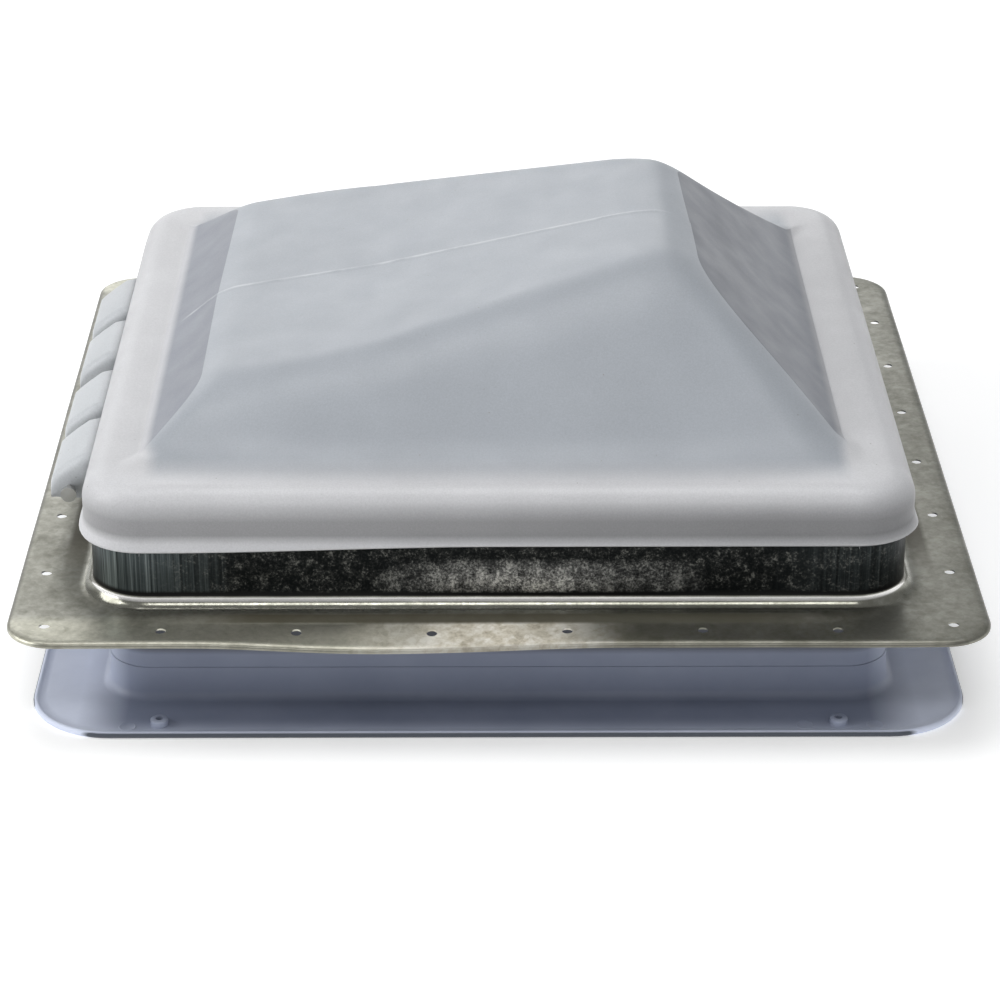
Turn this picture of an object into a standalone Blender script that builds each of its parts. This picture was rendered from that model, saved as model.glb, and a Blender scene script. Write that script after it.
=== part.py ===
"""Manual roof vent for a recreational vehicle: a hinged translucent lid on a galvanised base,
a worm-and-wheel operator that lifts the lid, an insect screen and the interior trim ring.

Metres, +Z up. The origin is under the middle of the trim ring, on its lowest face. The lid's
hinge is on the -X side. Heights above the base's mounting flange are written as UP + height.
"""

import math

import bmesh
import bpy
from mathutils import Matrix, Vector

# ---- driving dimensions -------------------------------------------------------------------
GAP = 0.0003                 # between pieces that touch
UP = 0.0506                  # top of the mounting flange above the trim ring's lowest face
CORNER_STEPS = 4             # facets in a rounded corner
ROUND_STEPS = 16             # facets round a small turned part

# galvanised base
SHEET = 0.0008
FLANGE_HALF = 0.2150
FLANGE_CORNER = 0.0220
FLANGE_LIP = 0.0022
NECK_HALF = 0.1810
NECK_CORNER = 0.0260
NECK_FILLET = 0.0070
NECK_HEIGHT = 0.0460
NECK_RETURN = 0.0110
HOLE_RADIUS = 0.0024
HOLE_ROW = 0.2032
HOLE_PITCH = 0.05887
HOLES_PER_SIDE = 6
CORNER_HOLE = 0.1981

# lid
LID_WALL = 0.0020
LIP_HALF = 0.1858
LIP_UP = 0.0300
RIM_HALF = 0.1838
RIM_UP = 0.0560
LID_CORNER = 0.0270
DOME_LEFT = -0.1590
DOME_RIGHT = 0.1540
DOME_HALF_LEFT = 0.1440
DOME_HALF_RIGHT = 0.1330
CREST_LEFT = -0.1330
CREST_RIGHT = 0.0880
CREST_HALF_LEFT = 0.1060
CREST_HALF_RIGHT = 0.0720
RIDGE_LEFT = CREST_LEFT + 0.0080
RIDGE_RIGHT = CREST_RIGHT - 0.0020
LID_SIDE_STEPS = 6           # stretches along each straight side of the lid's outlines

# hinge
HINGE = Vector((-0.1955, 0.0, UP + 0.0245))
PIN_RADIUS = 0.0020
HOOD_PITCH = 0.0600
HOOD_WIDTH = 0.0500
HOOD_WALL = 0.0020
TAB_WIDTH = 0.0360
LEAF_THICKNESS = 0.0012
LEAF_HALF = 0.1180

# lift mechanism: the roller's track points at the hinge, and the arm is as long as the
# distance from the hinge to the arm's pivot, so the arm turns exactly twice as far as the lid
ARM_LENGTH = 0.1350
PIVOT_SLOPE = math.radians(-4.0)
TRACK_SLOPE = math.radians(9.0)
ARM_REST = 2 * TRACK_SLOPE - PIVOT_SLOPE
PIVOT = HINGE + ARM_LENGTH * Vector((math.cos(PIVOT_SLOPE), 0.0, math.sin(PIVOT_SLOPE)))
ROLLER = PIVOT + ARM_LENGTH * Vector((math.cos(ARM_REST), 0.0, math.sin(ARM_REST)))
ARM_THICKNESS = 0.0025
ROLLER_RADIUS = 0.0050
TRACK_START = 0.0690
TRACK_END = 0.2740
TRACK_SHEET = 0.0015
TRACK_INSIDE = 0.0108

# worm and wheel
TEETH = 24
MODULE = 0.0020
WHEEL_RADIUS = TEETH * MODULE / 2
WORM_RADIUS = 0.0070
LEAD = math.pi * MODULE
ADDENDUM = MODULE
DEDENDUM = 1.2 * MODULE
PRESSURE = math.tan(math.radians(20.0))
WORM_Y = -0.0145
WORM = Vector((PIVOT.x + WHEEL_RADIUS + WORM_RADIUS, WORM_Y, PIVOT.z))

# trim ring and insect screen
TRIM_HALF = 0.2088
TRIM_CORNER = 0.0370
TRIM_FLOOR = 0.0020
COLLAR_HALF = 0.1735
COLLAR_BASE_HALF = 0.1758
COLLAR_CORNER = 0.0200
COLLAR_WALL = 0.0020
COLLAR_FILLET = 0.0060
COLLAR_TOP = UP + 0.0037
SCREEN_UP = UP - 0.0252
BAR_X = (-0.1200, -0.0960)
BAR_UP = COLLAR_TOP + GAP
BAR_THICKNESS = 0.0015


# ---- scene and materials ------------------------------------------------------------------
def clear_scene():
    for obj in list(bpy.data.objects):
        bpy.data.objects.remove(obj, do_unlink=True)


def collection(name):
    made = bpy.data.collections.new(name)
    bpy.context.scene.collection.children.link(made)
    return made


def material(name, colour, roughness, metallic=0.0):
    made = bpy.data.materials.new(name)
    made.use_nodes = True
    shader = made.node_tree.nodes["Principled BSDF"]
    shader.inputs["Base Color"].default_value = (*colour, 1.0)
    shader.inputs["Roughness"].default_value = roughness
    shader.inputs["Metallic"].default_value = metallic
    return made


clear_scene()
PARTS = collection("roof_vent")
CUTTERS = collection("cutters")


def axis_point(name, place):
    """An empty on a joint's axis, for the pieces that turn about it."""
    empty = bpy.data.objects.new(name, None)
    empty.location = place
    PARTS.objects.link(empty)
    return empty


def finish(obj, name, surface, parent=None, angle=35.0):
    """Names a piece, gives it its material and, where it moves, hangs it on its joint's axis."""
    obj.name = name
    obj.data.name = name
    for group in list(obj.users_collection):
        group.objects.unlink(obj)
    PARTS.objects.link(obj)
    obj.data.materials.clear()
    obj.data.materials.append(material(name, *surface))
    obj.data.shade_smooth()
    obj.data.set_sharp_from_angle(angle=math.radians(angle))
    if parent:
        obj.location = obj.location - parent.location
        obj.parent = parent
    return obj


# ---- shapes -------------------------------------------------------------------------------
def object_from(bm, name, solid=True):
    mesh = bpy.data.meshes.new(name)
    if solid:
        bmesh.ops.recalc_face_normals(bm, faces=bm.faces)
    bm.to_mesh(mesh)
    bm.free()
    obj = bpy.data.objects.new(name, mesh)
    PARTS.objects.link(obj)
    return obj


def box(low, high):
    """A box between two corners."""
    low, high = Vector(low), Vector(high)
    bm = bmesh.new()
    bmesh.ops.create_cube(bm, size=1.0, matrix=Matrix.Diagonal((*(high - low), 1.0)))
    obj = object_from(bm, "box")
    obj.location = (low + high) / 2
    return obj


def turning(axis):
    """The turn that lays +Z along the axis."""
    return Vector((0, 0, 1)).rotation_difference(Vector(axis)).to_matrix().to_4x4()


def rods(places, radius, steps=12):
    """Separate cylinders in one mesh, each from one point to another."""
    bm = bmesh.new()
    for start, end in places:
        start, end = Vector(start), Vector(end)
        matrix = Matrix.Translation((start + end) / 2) @ turning(end - start)
        bmesh.ops.create_cone(bm, cap_ends=True, segments=steps, radius1=radius,
                              radius2=radius, depth=(end - start).length, matrix=matrix)
    return object_from(bm, "rods")


def turned(profile, place, axis=(0, 0, 1), steps=ROUND_STEPS, closed=False):
    """A turned solid. The profile is (radius, height along the axis) from the top down its
    outer side; a closed one goes on up its bore."""
    bm = bmesh.new()
    points = [bm.verts.new((radius, 0.0, height)) for radius, height in profile]
    ends = points[1:] + points[:1] if closed else points[1:]
    for a, b in zip(points, ends):
        bm.edges.new((a, b))
    mesh = bpy.data.meshes.new("turned")
    bm.to_mesh(mesh)
    bm.free()
    obj = bpy.data.objects.new("turned", mesh)
    PARTS.objects.link(obj)
    screw = obj.modifiers.new("turn", "SCREW")
    screw.steps = steps
    screw.render_steps = steps
    screw.use_merge_vertices = True
    screw.merge_threshold = 0.00001
    obj.location = place
    obj.rotation_euler = turning(axis).to_euler()
    return obj


def washer(inner, outer, bottom, top, place, axis=(0, 0, 1), steps=ROUND_STEPS):
    return turned([(inner, top), (outer, top), (outer, bottom), (inner, bottom)],
                  place, axis, steps, closed=True)


def pin(stations, place, axis=(0, 0, 1), steps=ROUND_STEPS):
    """A solid of plain diameters: stations are (radius, bottom, top), from the top down."""
    profile = [(0.0, stations[0][2])]
    for radius, bottom, top in stations:
        profile += [(radius, top), (radius, bottom)]
    profile.append((0.0, stations[-1][1]))
    return turned(profile, place, axis, steps)


def flat_plate(outlines, thickness, place, turn=(0.0, 0.0, 0.0)):
    """A plate with the given outlines (the later ones are holes), as a mesh."""
    curve = bpy.data.curves.new("plate", "CURVE")
    curve.dimensions = "2D"
    curve.fill_mode = "BOTH"
    curve.extrude = thickness / 2
    for outline in outlines:
        spline = curve.splines.new("POLY")
        spline.points.add(len(outline) - 1)
        for point, (x, y) in zip(spline.points, outline):
            point.co = (x, y, 0.0, 1.0)
        spline.use_cyclic_u = True
    source = bpy.data.objects.new("plate", curve)
    PARTS.objects.link(source)
    source.location = place
    source.rotation_euler = turn
    bpy.context.view_layer.update()
    graph = bpy.context.evaluated_depsgraph_get()
    mesh = bpy.data.meshes.new_from_object(source.evaluated_get(graph))
    bm = bmesh.new()
    bm.from_mesh(mesh)
    bmesh.ops.remove_doubles(bm, verts=bm.verts, dist=0.000002)
    obj = object_from(bm, "plate")
    obj.matrix_world = source.matrix_world.copy()
    bpy.data.objects.remove(source, do_unlink=True)
    return obj


STANDING = (math.pi / 2, 0.0, 0.0)      # a plate in the X-Z plane, its second side along +Z


def circle(x, y, radius, steps=16):
    return [(x + radius * math.cos(2 * math.pi * i / steps),
             y + radius * math.sin(2 * math.pi * i / steps)) for i in range(steps)]


def arc(x, y, radius, first, last, steps):
    """Points from one angle to another, in degrees."""
    turns = [math.radians(first + (last - first) * i / steps) for i in range(steps + 1)]
    return [(x + radius * math.cos(a), y + radius * math.sin(a)) for a in turns]


def rounded_outline(corners, radius, steps=CORNER_STEPS, between=1):
    """A four-sided outline, counter-clockwise, with round corners; `between` is the number of
    stretches in each straight side."""
    outline = []
    for i, corner in enumerate(corners):
        corner = Vector(corner)
        before = (Vector(corners[i - 1]) - corner).normalized()
        after = (Vector(corners[(i + 1) % 4]) - corner).normalized()
        half_angle = before.angle(after) / 2
        middle = corner + (before + after).normalized() * radius / math.sin(half_angle)
        tangent = radius / math.tan(half_angle)
        start = corner + before * tangent - middle
        sweep = math.pi - 2 * half_angle
        if outline:
            add_between(outline, middle + start, between)
        for k in range(steps + 1):
            turned_start = Matrix.Rotation(sweep * k / steps, 2) @ start
            outline.append(middle + turned_start)
    add_between(outline, outline[0], between)
    return outline


def add_between(outline, end, stretches):
    start = outline[-1]
    for k in range(1, stretches):
        outline.append(start.lerp(end, k / stretches))


def square(half, radius, between=1):
    corners = ((-half, -half), (half, -half), (half, half), (-half, half))
    return rounded_outline(corners, radius, between=between)


def loft(levels, closed=False, between=0):
    """Joins outlines that all have as many points. A level is (outline, height), where the
    height is a number or a function of x and y. Closed joins the last level to the first.
    With `between`, the stretches in each of its sides, the last level is covered by strips."""
    bm = bmesh.new()
    loops = []
    for outline, height in levels:
        heights = [height(p.x, p.y) if callable(height) else height for p in outline]
        loops.append([bm.verts.new((p.x, p.y, z)) for p, z in zip(outline, heights)])
    followers = loops[1:] + loops[:1] if closed else loops[1:]
    for a, b in zip(loops, followers):
        for i in range(len(a)):
            j = (i + 1) % len(a)
            bm.faces.new((a[i], a[j], b[j], b[i]))
    if between:
        last, count = loops[-1], len(loops[-1])
        end = (count - 2 * between) // 2 - 1
        bm.faces.new([last[k % count] for k in range(-between - 1, 2)])
        bm.faces.new([last[k] for k in range(end, end + between + 3)])
        for i in range(1, end):
            bm.faces.new([last[k] for k in (i, i + 1, -between - i - 1, -between - i)])
    return object_from(bm, "loft", solid=closed)


def ring(profile, corner_offset):
    """A closed section swept round a square. The section is (half width, height), and a
    point's corner radius is its half width less corner_offset."""
    levels = [(square(half, half - corner_offset), height) for half, height in profile]
    return loft(levels, closed=True)


def combine(target, tool, operation):
    """Joins a helper to the target or cuts it out of it."""
    for group in list(tool.users_collection):
        group.objects.unlink(tool)
    CUTTERS.objects.link(tool)
    tool.hide_render = True
    tool.display_type = "WIRE"
    step = target.modifiers.new(operation.lower(), "BOOLEAN")
    step.operation = operation
    step.solver = "EXACT"
    step.object = tool


def cut(target, tool):
    combine(target, tool, "DIFFERENCE")


def join(target, tool):
    combine(target, tool, "UNION")


# ---- surfaces: colour, roughness, metallic ------------------------------------------------
GALVANISED = ((0.45, 0.45, 0.42), 0.42, 1.0)
ZINC_STEEL = ((0.60, 0.60, 0.58), 0.35, 1.0)
CAST_ZINC = ((0.42, 0.42, 0.43), 0.50, 1.0)
LID_PLASTIC = ((0.72, 0.74, 0.77), 0.42, 0.0)
TRIM_PLASTIC = ((0.36, 0.40, 0.50), 0.45, 0.0)
KNOB_PLASTIC = ((0.62, 0.64, 0.67), 0.40, 0.0)
NYLON = ((0.80, 0.79, 0.74), 0.45, 0.0)
FOAM = ((0.05, 0.05, 0.05), 0.90, 0.0)
RUBBER = ((0.04, 0.04, 0.045), 0.70, 0.0)
SCREEN = ((0.20, 0.21, 0.22), 0.60, 0.0)

HOOD_PLACES = [HOOD_PITCH * (k - 1.5) for k in range(4)]
LEAF_RIVETS = [-0.1120, -0.0600, 0.0, 0.0600, 0.1120]
LEAF_RIVET_UP = UP + 0.0155
BAR_RIVETS = [(x, side) for side in (-1, 1) for x in (-0.1140, -0.1020)]
BAR_RIVET_UP = UP + 0.0375


# ---- galvanised base ----------------------------------------------------------------------
def base_flange():
    """One sheet: turned-down edge, flat flange, round foot, upright neck, inward return."""
    bend = 0.0015
    levels = [(square(FLANGE_HALF, FLANGE_CORNER), UP - FLANGE_LIP),
              (square(FLANGE_HALF, FLANGE_CORNER), UP - 0.0010),
              (square(FLANGE_HALF - 0.0010, FLANGE_CORNER - 0.0010), UP)]
    foot = [(NECK_HALF + NECK_FILLET - x, UP + NECK_FILLET - z)
            for x, z in arc(0.0, 0.0, NECK_FILLET, 90.0, 0.0, 4)]
    top = [(NECK_HALF - bend + x, UP + NECK_HEIGHT - bend + z)
           for x, z in arc(0.0, 0.0, bend, 0.0, 90.0, 2)]
    edge = [(NECK_HALF - NECK_RETURN, UP + NECK_HEIGHT)]
    for half, height in foot + top + edge:
        levels.append((square(half, NECK_CORNER + half - NECK_HALF), height))
    base = loft(levels)
    skin = base.modifiers.new("sheet", "SOLIDIFY")
    skin.thickness = SHEET
    skin.offset = -1.0
    skin.use_even_offset = True
    cut(base, flange_holes())
    cut(base, rivet_holes(NECK_HALF + 0.004, NECK_HALF - 0.004))
    return finish(base, "base_flange", GALVANISED)


def flange_holes():
    places = [(sx * CORNER_HOLE, sy * CORNER_HOLE) for sx in (-1, 1) for sy in (-1, 1)]
    for k in range(HOLES_PER_SIDE):
        along = HOLE_PITCH * (k - (HOLES_PER_SIDE - 1) / 2)
        for side in (-HOLE_ROW, HOLE_ROW):
            places += [(along, side), (side, along)]
    return rods([((x, y, UP - 0.004), (x, y, UP + 0.004)) for x, y in places], HOLE_RADIUS, 10)


def rivet_holes(outer, inner):
    """The rivets' holes through the neck, the hinge leaf or the bar's ends."""
    places = [((-outer, y, LEAF_RIVET_UP), (-inner, y, LEAF_RIVET_UP)) for y in LEAF_RIVETS]
    for x, side in BAR_RIVETS:
        places.append(((x, side * outer, BAR_RIVET_UP), (x, side * inner, BAR_RIVET_UP)))
    return rods(places, 0.0022, 8)


def neck_gasket():
    low, high = UP + NECK_HEIGHT + GAP, UP + RIM_UP - LID_WALL - 0.0007
    gasket = ring([(0.1715, low), (0.1765, low), (0.1765, high), (0.1715, high)], 0.1590)
    return finish(gasket, "neck_gasket", FOAM)


def rivet(name, face, inner_face, axis):
    """A blind rivet: a low head outside, a shank, and the upset bulb inside."""
    grip = (Vector(face) - Vector(inner_face)).length
    body = turned([(0.0, 0.0014), (0.0026, 0.0012), (0.0038, GAP + 0.0003), (0.0038, GAP),
                   (0.0019, GAP), (0.0019, -grip - GAP), (0.0029, -grip - 0.0008),
                   (0.0026, -grip - 0.0024), (0.0, -grip - 0.0028)], face, axis, 12)
    return finish(body, name, ZINC_STEEL)


# ---- hinge --------------------------------------------------------------------------------
def hinge_leaf():
    """A steel strip on the neck's left wall, with four tabs curled round the hinge pin."""
    outer = -(NECK_HALF + GAP + LEAF_THICKNESS)
    top = HINGE.z - 0.0022
    leaf = box((outer, -LEAF_HALF, UP + 0.0105), (outer + LEAF_THICKNESS, LEAF_HALF, top))
    curl = 0.0034
    first = math.degrees(math.asin((top - 0.0001 - HINGE.z) / curl))
    tab = [(outer + 0.0005 - HINGE.x, -curl), (outer + 0.0005 - HINGE.x, -0.0023)]
    tab += arc(0.0, 0.0, curl, first, 270.0, 14)
    for y in HOOD_PLACES:
        outlines = [tab, circle(0.0, 0.0, PIN_RADIUS + GAP, 12)]
        join(leaf, flat_plate(outlines, TAB_WIDTH, (HINGE.x, y, HINGE.z), STANDING))
    cut(leaf, rivet_holes(NECK_HALF + 0.004, NECK_HALF - 0.004))
    return finish(leaf, "hinge_leaf", ZINC_STEEL)


def hinge_pin():
    head = -HOOD_PITCH * 1.5 - HOOD_WIDTH / 2 - GAP
    stations = [(PIN_RADIUS, head, 0.1195), (0.0036, head - 0.0020, head)]
    return finish(pin(stations, HINGE, (0, 1, 0)), "hinge_pin", ZINC_STEEL)


def hinge_pin_retainer():
    face = HOOD_PITCH * 1.5 + HOOD_WIDTH / 2 + GAP
    nut = washer(PIN_RADIUS + GAP, 0.0048, face, face + 0.0012, HINGE, (0, 1, 0))
    return finish(nut, "hinge_pin_retainer", ZINC_STEEL)


# ---- lid ----------------------------------------------------------------------------------
def along(x, left, right):
    """A value that goes evenly from the dome's low end to its high end."""
    return left + (right - left) * (x - CREST_LEFT) / (CREST_RIGHT - CREST_LEFT)


def crest_height(x):
    """The ridge along the middle of the dome: a long rise, then a short fall."""
    peak = RIDGE_LEFT + (RIDGE_RIGHT - RIDGE_LEFT) * 5 / 6
    if x < peak:
        return UP + 0.1178 - 0.0375 * (peak - x) / (peak - RIDGE_LEFT)
    return UP + 0.1178 - 0.0030 * (x - peak) / (RIDGE_RIGHT - peak)


def shoulder_height(x, _y=0.0):
    return UP + min(along(x, 0.0800, 0.1155), 0.1110)


def lid_levels():
    """The outside of the lid, from the lip up the skirt, over the rim and up the dome."""
    levels = []
    bend = 0.0062
    skirt = [(LIP_HALF, LIP_UP), (RIM_HALF, RIM_UP - bend)]
    rim = [(RIM_HALF - bend + x, RIM_UP - bend + z)
           for x, z in arc(0.0, 0.0, bend, 22.5, 90.0, 3)]
    for half, height in skirt + rim:
        radius = LID_CORNER + half - RIM_HALF
        levels.append((square(half, radius, LID_SIDE_STEPS), UP + height))
    foot = ((DOME_LEFT, -DOME_HALF_LEFT), (DOME_RIGHT, -DOME_HALF_RIGHT),
            (DOME_RIGHT, DOME_HALF_RIGHT), (DOME_LEFT, DOME_HALF_LEFT))
    levels.append((rounded_outline(foot, 0.0120, between=LID_SIDE_STEPS), UP + RIM_UP))
    crest = ((CREST_LEFT, -CREST_HALF_LEFT), (CREST_RIGHT, -CREST_HALF_RIGHT),
             (CREST_RIGHT, CREST_HALF_RIGHT), (CREST_LEFT, CREST_HALF_LEFT))
    levels.append((rounded_outline(crest, 0.0080, between=LID_SIDE_STEPS), shoulder_height))
    narrow = 0.0020
    ridge = ((RIDGE_LEFT, -narrow), (RIDGE_RIGHT, -narrow),
             (RIDGE_RIGHT, narrow), (RIDGE_LEFT, narrow))
    levels.append((rounded_outline(ridge, 0.0005, between=LID_SIDE_STEPS),
                   lambda x, _y: crest_height(x)))
    return levels


def hood_outline():
    """The side view of a hinge hood, from the lid's skirt out and down over the pin."""
    return [(-0.1841, UP + 0.0415), (-0.2033, UP + 0.0316), (-0.2045, UP + 0.0298),
            (-0.2045, UP + 0.0200), (-0.1875, UP + 0.0200), (-0.1875, UP + 0.0285),
            (-0.1844, UP + 0.0315)]


def hood_hollow():
    return [(-0.1868, UP + 0.0376), (-0.2025, UP + 0.0297), (-0.2025, UP + 0.0170),
            (-0.1810, UP + 0.0170), (-0.1810, UP + 0.0280), (-0.1868, UP + 0.0280)]


HANGERS = {"front": (0.0480, UP + 0.0960), "rear": (-0.0950, UP + 0.0690)}
HANGER_SCREWS = (-0.0080, 0.0050)


def lid(parent):
    shell = loft(lid_levels(), between=LID_SIDE_STEPS)
    skin = shell.modifiers.new("wall", "SOLIDIFY")
    skin.thickness = LID_WALL
    skin.offset = -1.0
    skin.use_even_offset = True
    for y in HOOD_PLACES:
        join(shell, flat_plate([hood_outline()], HOOD_WIDTH, (0.0, y, 0.0), STANDING))
    bosses = []
    for x, foot in HANGERS.values():
        bosses += [((x, y, foot + GAP), (x, y, crest_height(x) - 0.0014))
                   for y in HANGER_SCREWS]
    join(shell, rods(bosses, 0.0042))
    for y in HOOD_PLACES:
        hollow = HOOD_WIDTH - 2 * HOOD_WALL
        cut(shell, flat_plate([hood_hollow()], hollow, (0.0, y, 0.0), STANDING))
    cut(shell, rods([((HINGE.x, -0.13, HINGE.z), (HINGE.x, 0.13, HINGE.z))],
                    PIN_RADIUS + GAP, 16))
    pilots = []
    for x, foot in HANGERS.values():
        pilots += [((x, y, foot - 0.002), (x, y, foot + 0.0105)) for y in HANGER_SCREWS]
    cut(shell, rods(pilots, 0.0019))
    return finish(shell, "lid", LID_PLASTIC, parent, angle=25.0)


# ---- track under the lid ------------------------------------------------------------------
TRACK_Y = 0.0020
TRACK_DEPTH = 0.0097


def on_track(distance, above=0.0):
    """A place on the track's middle line, or so far square above it."""
    return HINGE + Vector((distance * math.cos(TRACK_SLOPE) - above * math.sin(TRACK_SLOPE),
                           0.0,
                           distance * math.sin(TRACK_SLOPE) + above * math.cos(TRACK_SLOPE)))


def track_rail(parent):
    """A channel, open to the arm's side, that points at the hinge."""
    inside, outside = TRACK_INSIDE / 2, TRACK_INSIDE / 2 + TRACK_SHEET
    back = TRACK_DEPTH - TRACK_SHEET
    outline = [(0.0, -outside), (TRACK_DEPTH, -outside), (TRACK_DEPTH, outside),
               (0.0, outside), (0.0, inside), (back, inside), (back, -inside), (0.0, -inside)]
    length = TRACK_END - TRACK_START
    middle = on_track((TRACK_START + TRACK_END) / 2) + Vector((0.0, TRACK_Y, 0.0))
    rail = flat_plate([outline], length, middle, (math.pi / 2, 0.0, math.pi / 2))
    rail.rotation_euler = (Matrix.Rotation(-TRACK_SLOPE, 3, "Y")
                           @ rail.rotation_euler.to_matrix()).to_euler()
    cut(rail, rods([(place + Vector((0, 0.005, 0)), place + Vector((0, 0.03, 0)))
                    for place in hanger_rivet_places().values()], 0.0019))
    return finish(rail, "track_rail", ZINC_STEEL, parent)


def hanger_rivet_places():
    places = {}
    for name, (x, _foot) in HANGERS.items():
        middle = (x - HINGE.x) / math.cos(TRACK_SLOPE)
        for k, step in enumerate((-0.007, 0.007)):
            places[f"{name}_{k + 1}"] = on_track(middle + step)
    return places


def track_hanger(name, x, foot, parent):
    """A bent strip from the rail's back up to the screw bosses inside the lid."""
    face = TRACK_Y + TRACK_DEPTH + GAP
    low = on_track((x - HINGE.x) / math.cos(TRACK_SLOPE)).z - 0.0060
    outline = [(face, low), (face + 0.0015, low), (face + 0.0015, foot), (-0.0140, foot),
               (-0.0140, foot - 0.0015), (face, foot - 0.0015)]
    strip = flat_plate([outline], 0.0240, (x, 0.0, 0.0), (math.pi / 2, 0.0, math.pi / 2))
    cut(strip, rods([((x, y, foot - 0.005), (x, y, foot + 0.005))
                     for y in HANGER_SCREWS], 0.0021))
    cut(strip, rods([(place + Vector((0, 0.005, 0)), place + Vector((0, 0.03, 0)))
                     for place in hanger_rivet_places().values()], 0.0019))
    return finish(strip, f"track_hanger_{name}", ZINC_STEEL, parent)


def hanger_screw(name, x, y, foot, parent):
    """Pan head below the strip's foot, shank up into the lid's boss."""
    under = foot - 0.0015 - GAP
    stations = [(0.0016, under, foot + 0.0085), (0.0034, under - 0.0018, under)]
    body = pin(stations, (x, y, 0.0), steps=12)
    return finish(body, name, ZINC_STEEL, parent)


def hanger_rivet(name, place, parent):
    """A flush rivet: its inner end is level with the rail, so the roller passes it."""
    face = TRACK_Y + TRACK_DEPTH + GAP + 0.0015 + GAP
    stations = [(0.0030, face, face + 0.0012),
                (0.0016, TRACK_Y + TRACK_DEPTH - TRACK_SHEET + 0.0001, face)]
    return finish(pin(stations, place, (0, 1, 0), 12), name, ZINC_STEEL, parent)


# ---- lift arm and roller ------------------------------------------------------------------
def lift_arm(parent):
    """A flat arm with round ends, wider at the shaft than at the roller."""
    wide, narrow = 0.0120, 0.0080
    lean = math.degrees(math.acos((wide - narrow) / ARM_LENGTH))
    outline = arc(0.0, 0.0, wide, lean, 360.0 - lean, 12)
    outline += arc(ARM_LENGTH, 0.0, narrow, -lean, lean, 8)
    outlines = [outline, circle(0.0, 0.0, 0.0043), circle(ARM_LENGTH, 0.0, 0.0023)]
    arm = flat_plate(outlines, ARM_THICKNESS, PIVOT, STANDING)
    arm.rotation_euler = (math.pi / 2, -ARM_REST, 0.0)
    return finish(arm, "lift_arm", ZINC_STEEL, parent)


def roller_pin(parent):
    """The arm's roller pin, with a head on one side and an upset collar on the other."""
    stations = [(0.0029, 0.0085, 0.0093), (0.0020, -0.0016, 0.0085),
                (0.0036, -0.0030, -0.0016)]
    return finish(pin(stations, ROLLER, (0, 1, 0)), "roller_pin", ZINC_STEEL, parent)


def track_roller(parent):
    roller = washer(0.0023, ROLLER_RADIUS, 0.0026, 0.0082, ROLLER, (0, 1, 0), 24)
    return finish(roller, "track_roller", NYLON, parent)


# ---- operator -----------------------------------------------------------------------------
WHEEL_WIDTH = 0.0060
CASE_BACK = WORM_Y - 0.0080
CASE_MOUTH = -0.0083
CASE_RADIUS = 0.0300
CAVITY_RADIUS = 0.0275
TUBE_RADIUS = 0.0125
BORE_RADIUS = 0.0095
COVER_EARS = [math.radians(a) for a in (95.0, 180.0, 265.0)]
EAR_RADIUS = 0.0310
FOOT_SCREWS = [(-0.1080, -0.0200), (-0.1080, -0.0105)]


def in_plane(angle, radius, y):
    """A point at an angle round the wheel's axis."""
    return Vector((PIVOT.x + radius * math.cos(angle), y, PIVOT.z + radius * math.sin(angle)))


def operator_housing():
    """A cast case: a round pocket for the wheel, an upright tube for the worm, a foot."""
    case = rods([((PIVOT.x, CASE_BACK, PIVOT.z), (PIVOT.x, CASE_MOUTH, PIVOT.z))],
                CASE_RADIUS, 32)
    join(case, rods([((WORM.x, WORM_Y, WORM.z - 0.0270), (WORM.x, WORM_Y, WORM.z + 0.0270))],
                    TUBE_RADIUS, 24))
    foot = BAR_UP + BAR_THICKNESS + GAP
    join(case, box((-0.1180, -0.0260, foot), (-0.0850, -0.0088, foot + 0.0050)))
    for angle in COVER_EARS:
        join(case, rods([(in_plane(angle, EAR_RADIUS, CASE_BACK + 0.0010),
                          in_plane(angle, EAR_RADIUS, CASE_MOUTH))], 0.0045, 14))
    cut(case, rods([((PIVOT.x, WORM_Y - 0.0050, PIVOT.z), (PIVOT.x, CASE_MOUTH + GAP, PIVOT.z))],
                   CAVITY_RADIUS, 32))
    cut(case, rods([((WORM.x, WORM_Y, WORM.z - 0.0300), (WORM.x, WORM_Y, WORM.z + 0.0190))],
                   BORE_RADIUS, 24))
    cut(case, rods([((WORM.x, WORM_Y, WORM.z + 0.0100), (WORM.x, WORM_Y, WORM.z + 0.0300))],
                   0.0038, 16))
    cut(case, rods([((PIVOT.x, CASE_BACK - 0.002, PIVOT.z), (PIVOT.x, WORM_Y, PIVOT.z))],
                   0.0043, 16))
    cut(case, rods([(in_plane(a, EAR_RADIUS, -0.0210), in_plane(a, EAR_RADIUS, -0.0050))
                    for a in COVER_EARS], 0.0019, 12))
    cut(case, rods([((x, y, foot - 0.003), (x, y, foot + 0.010)) for x, y in FOOT_SCREWS],
                   0.0024, 12))
    return finish(case, "operator_housing", CAST_ZINC)


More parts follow.
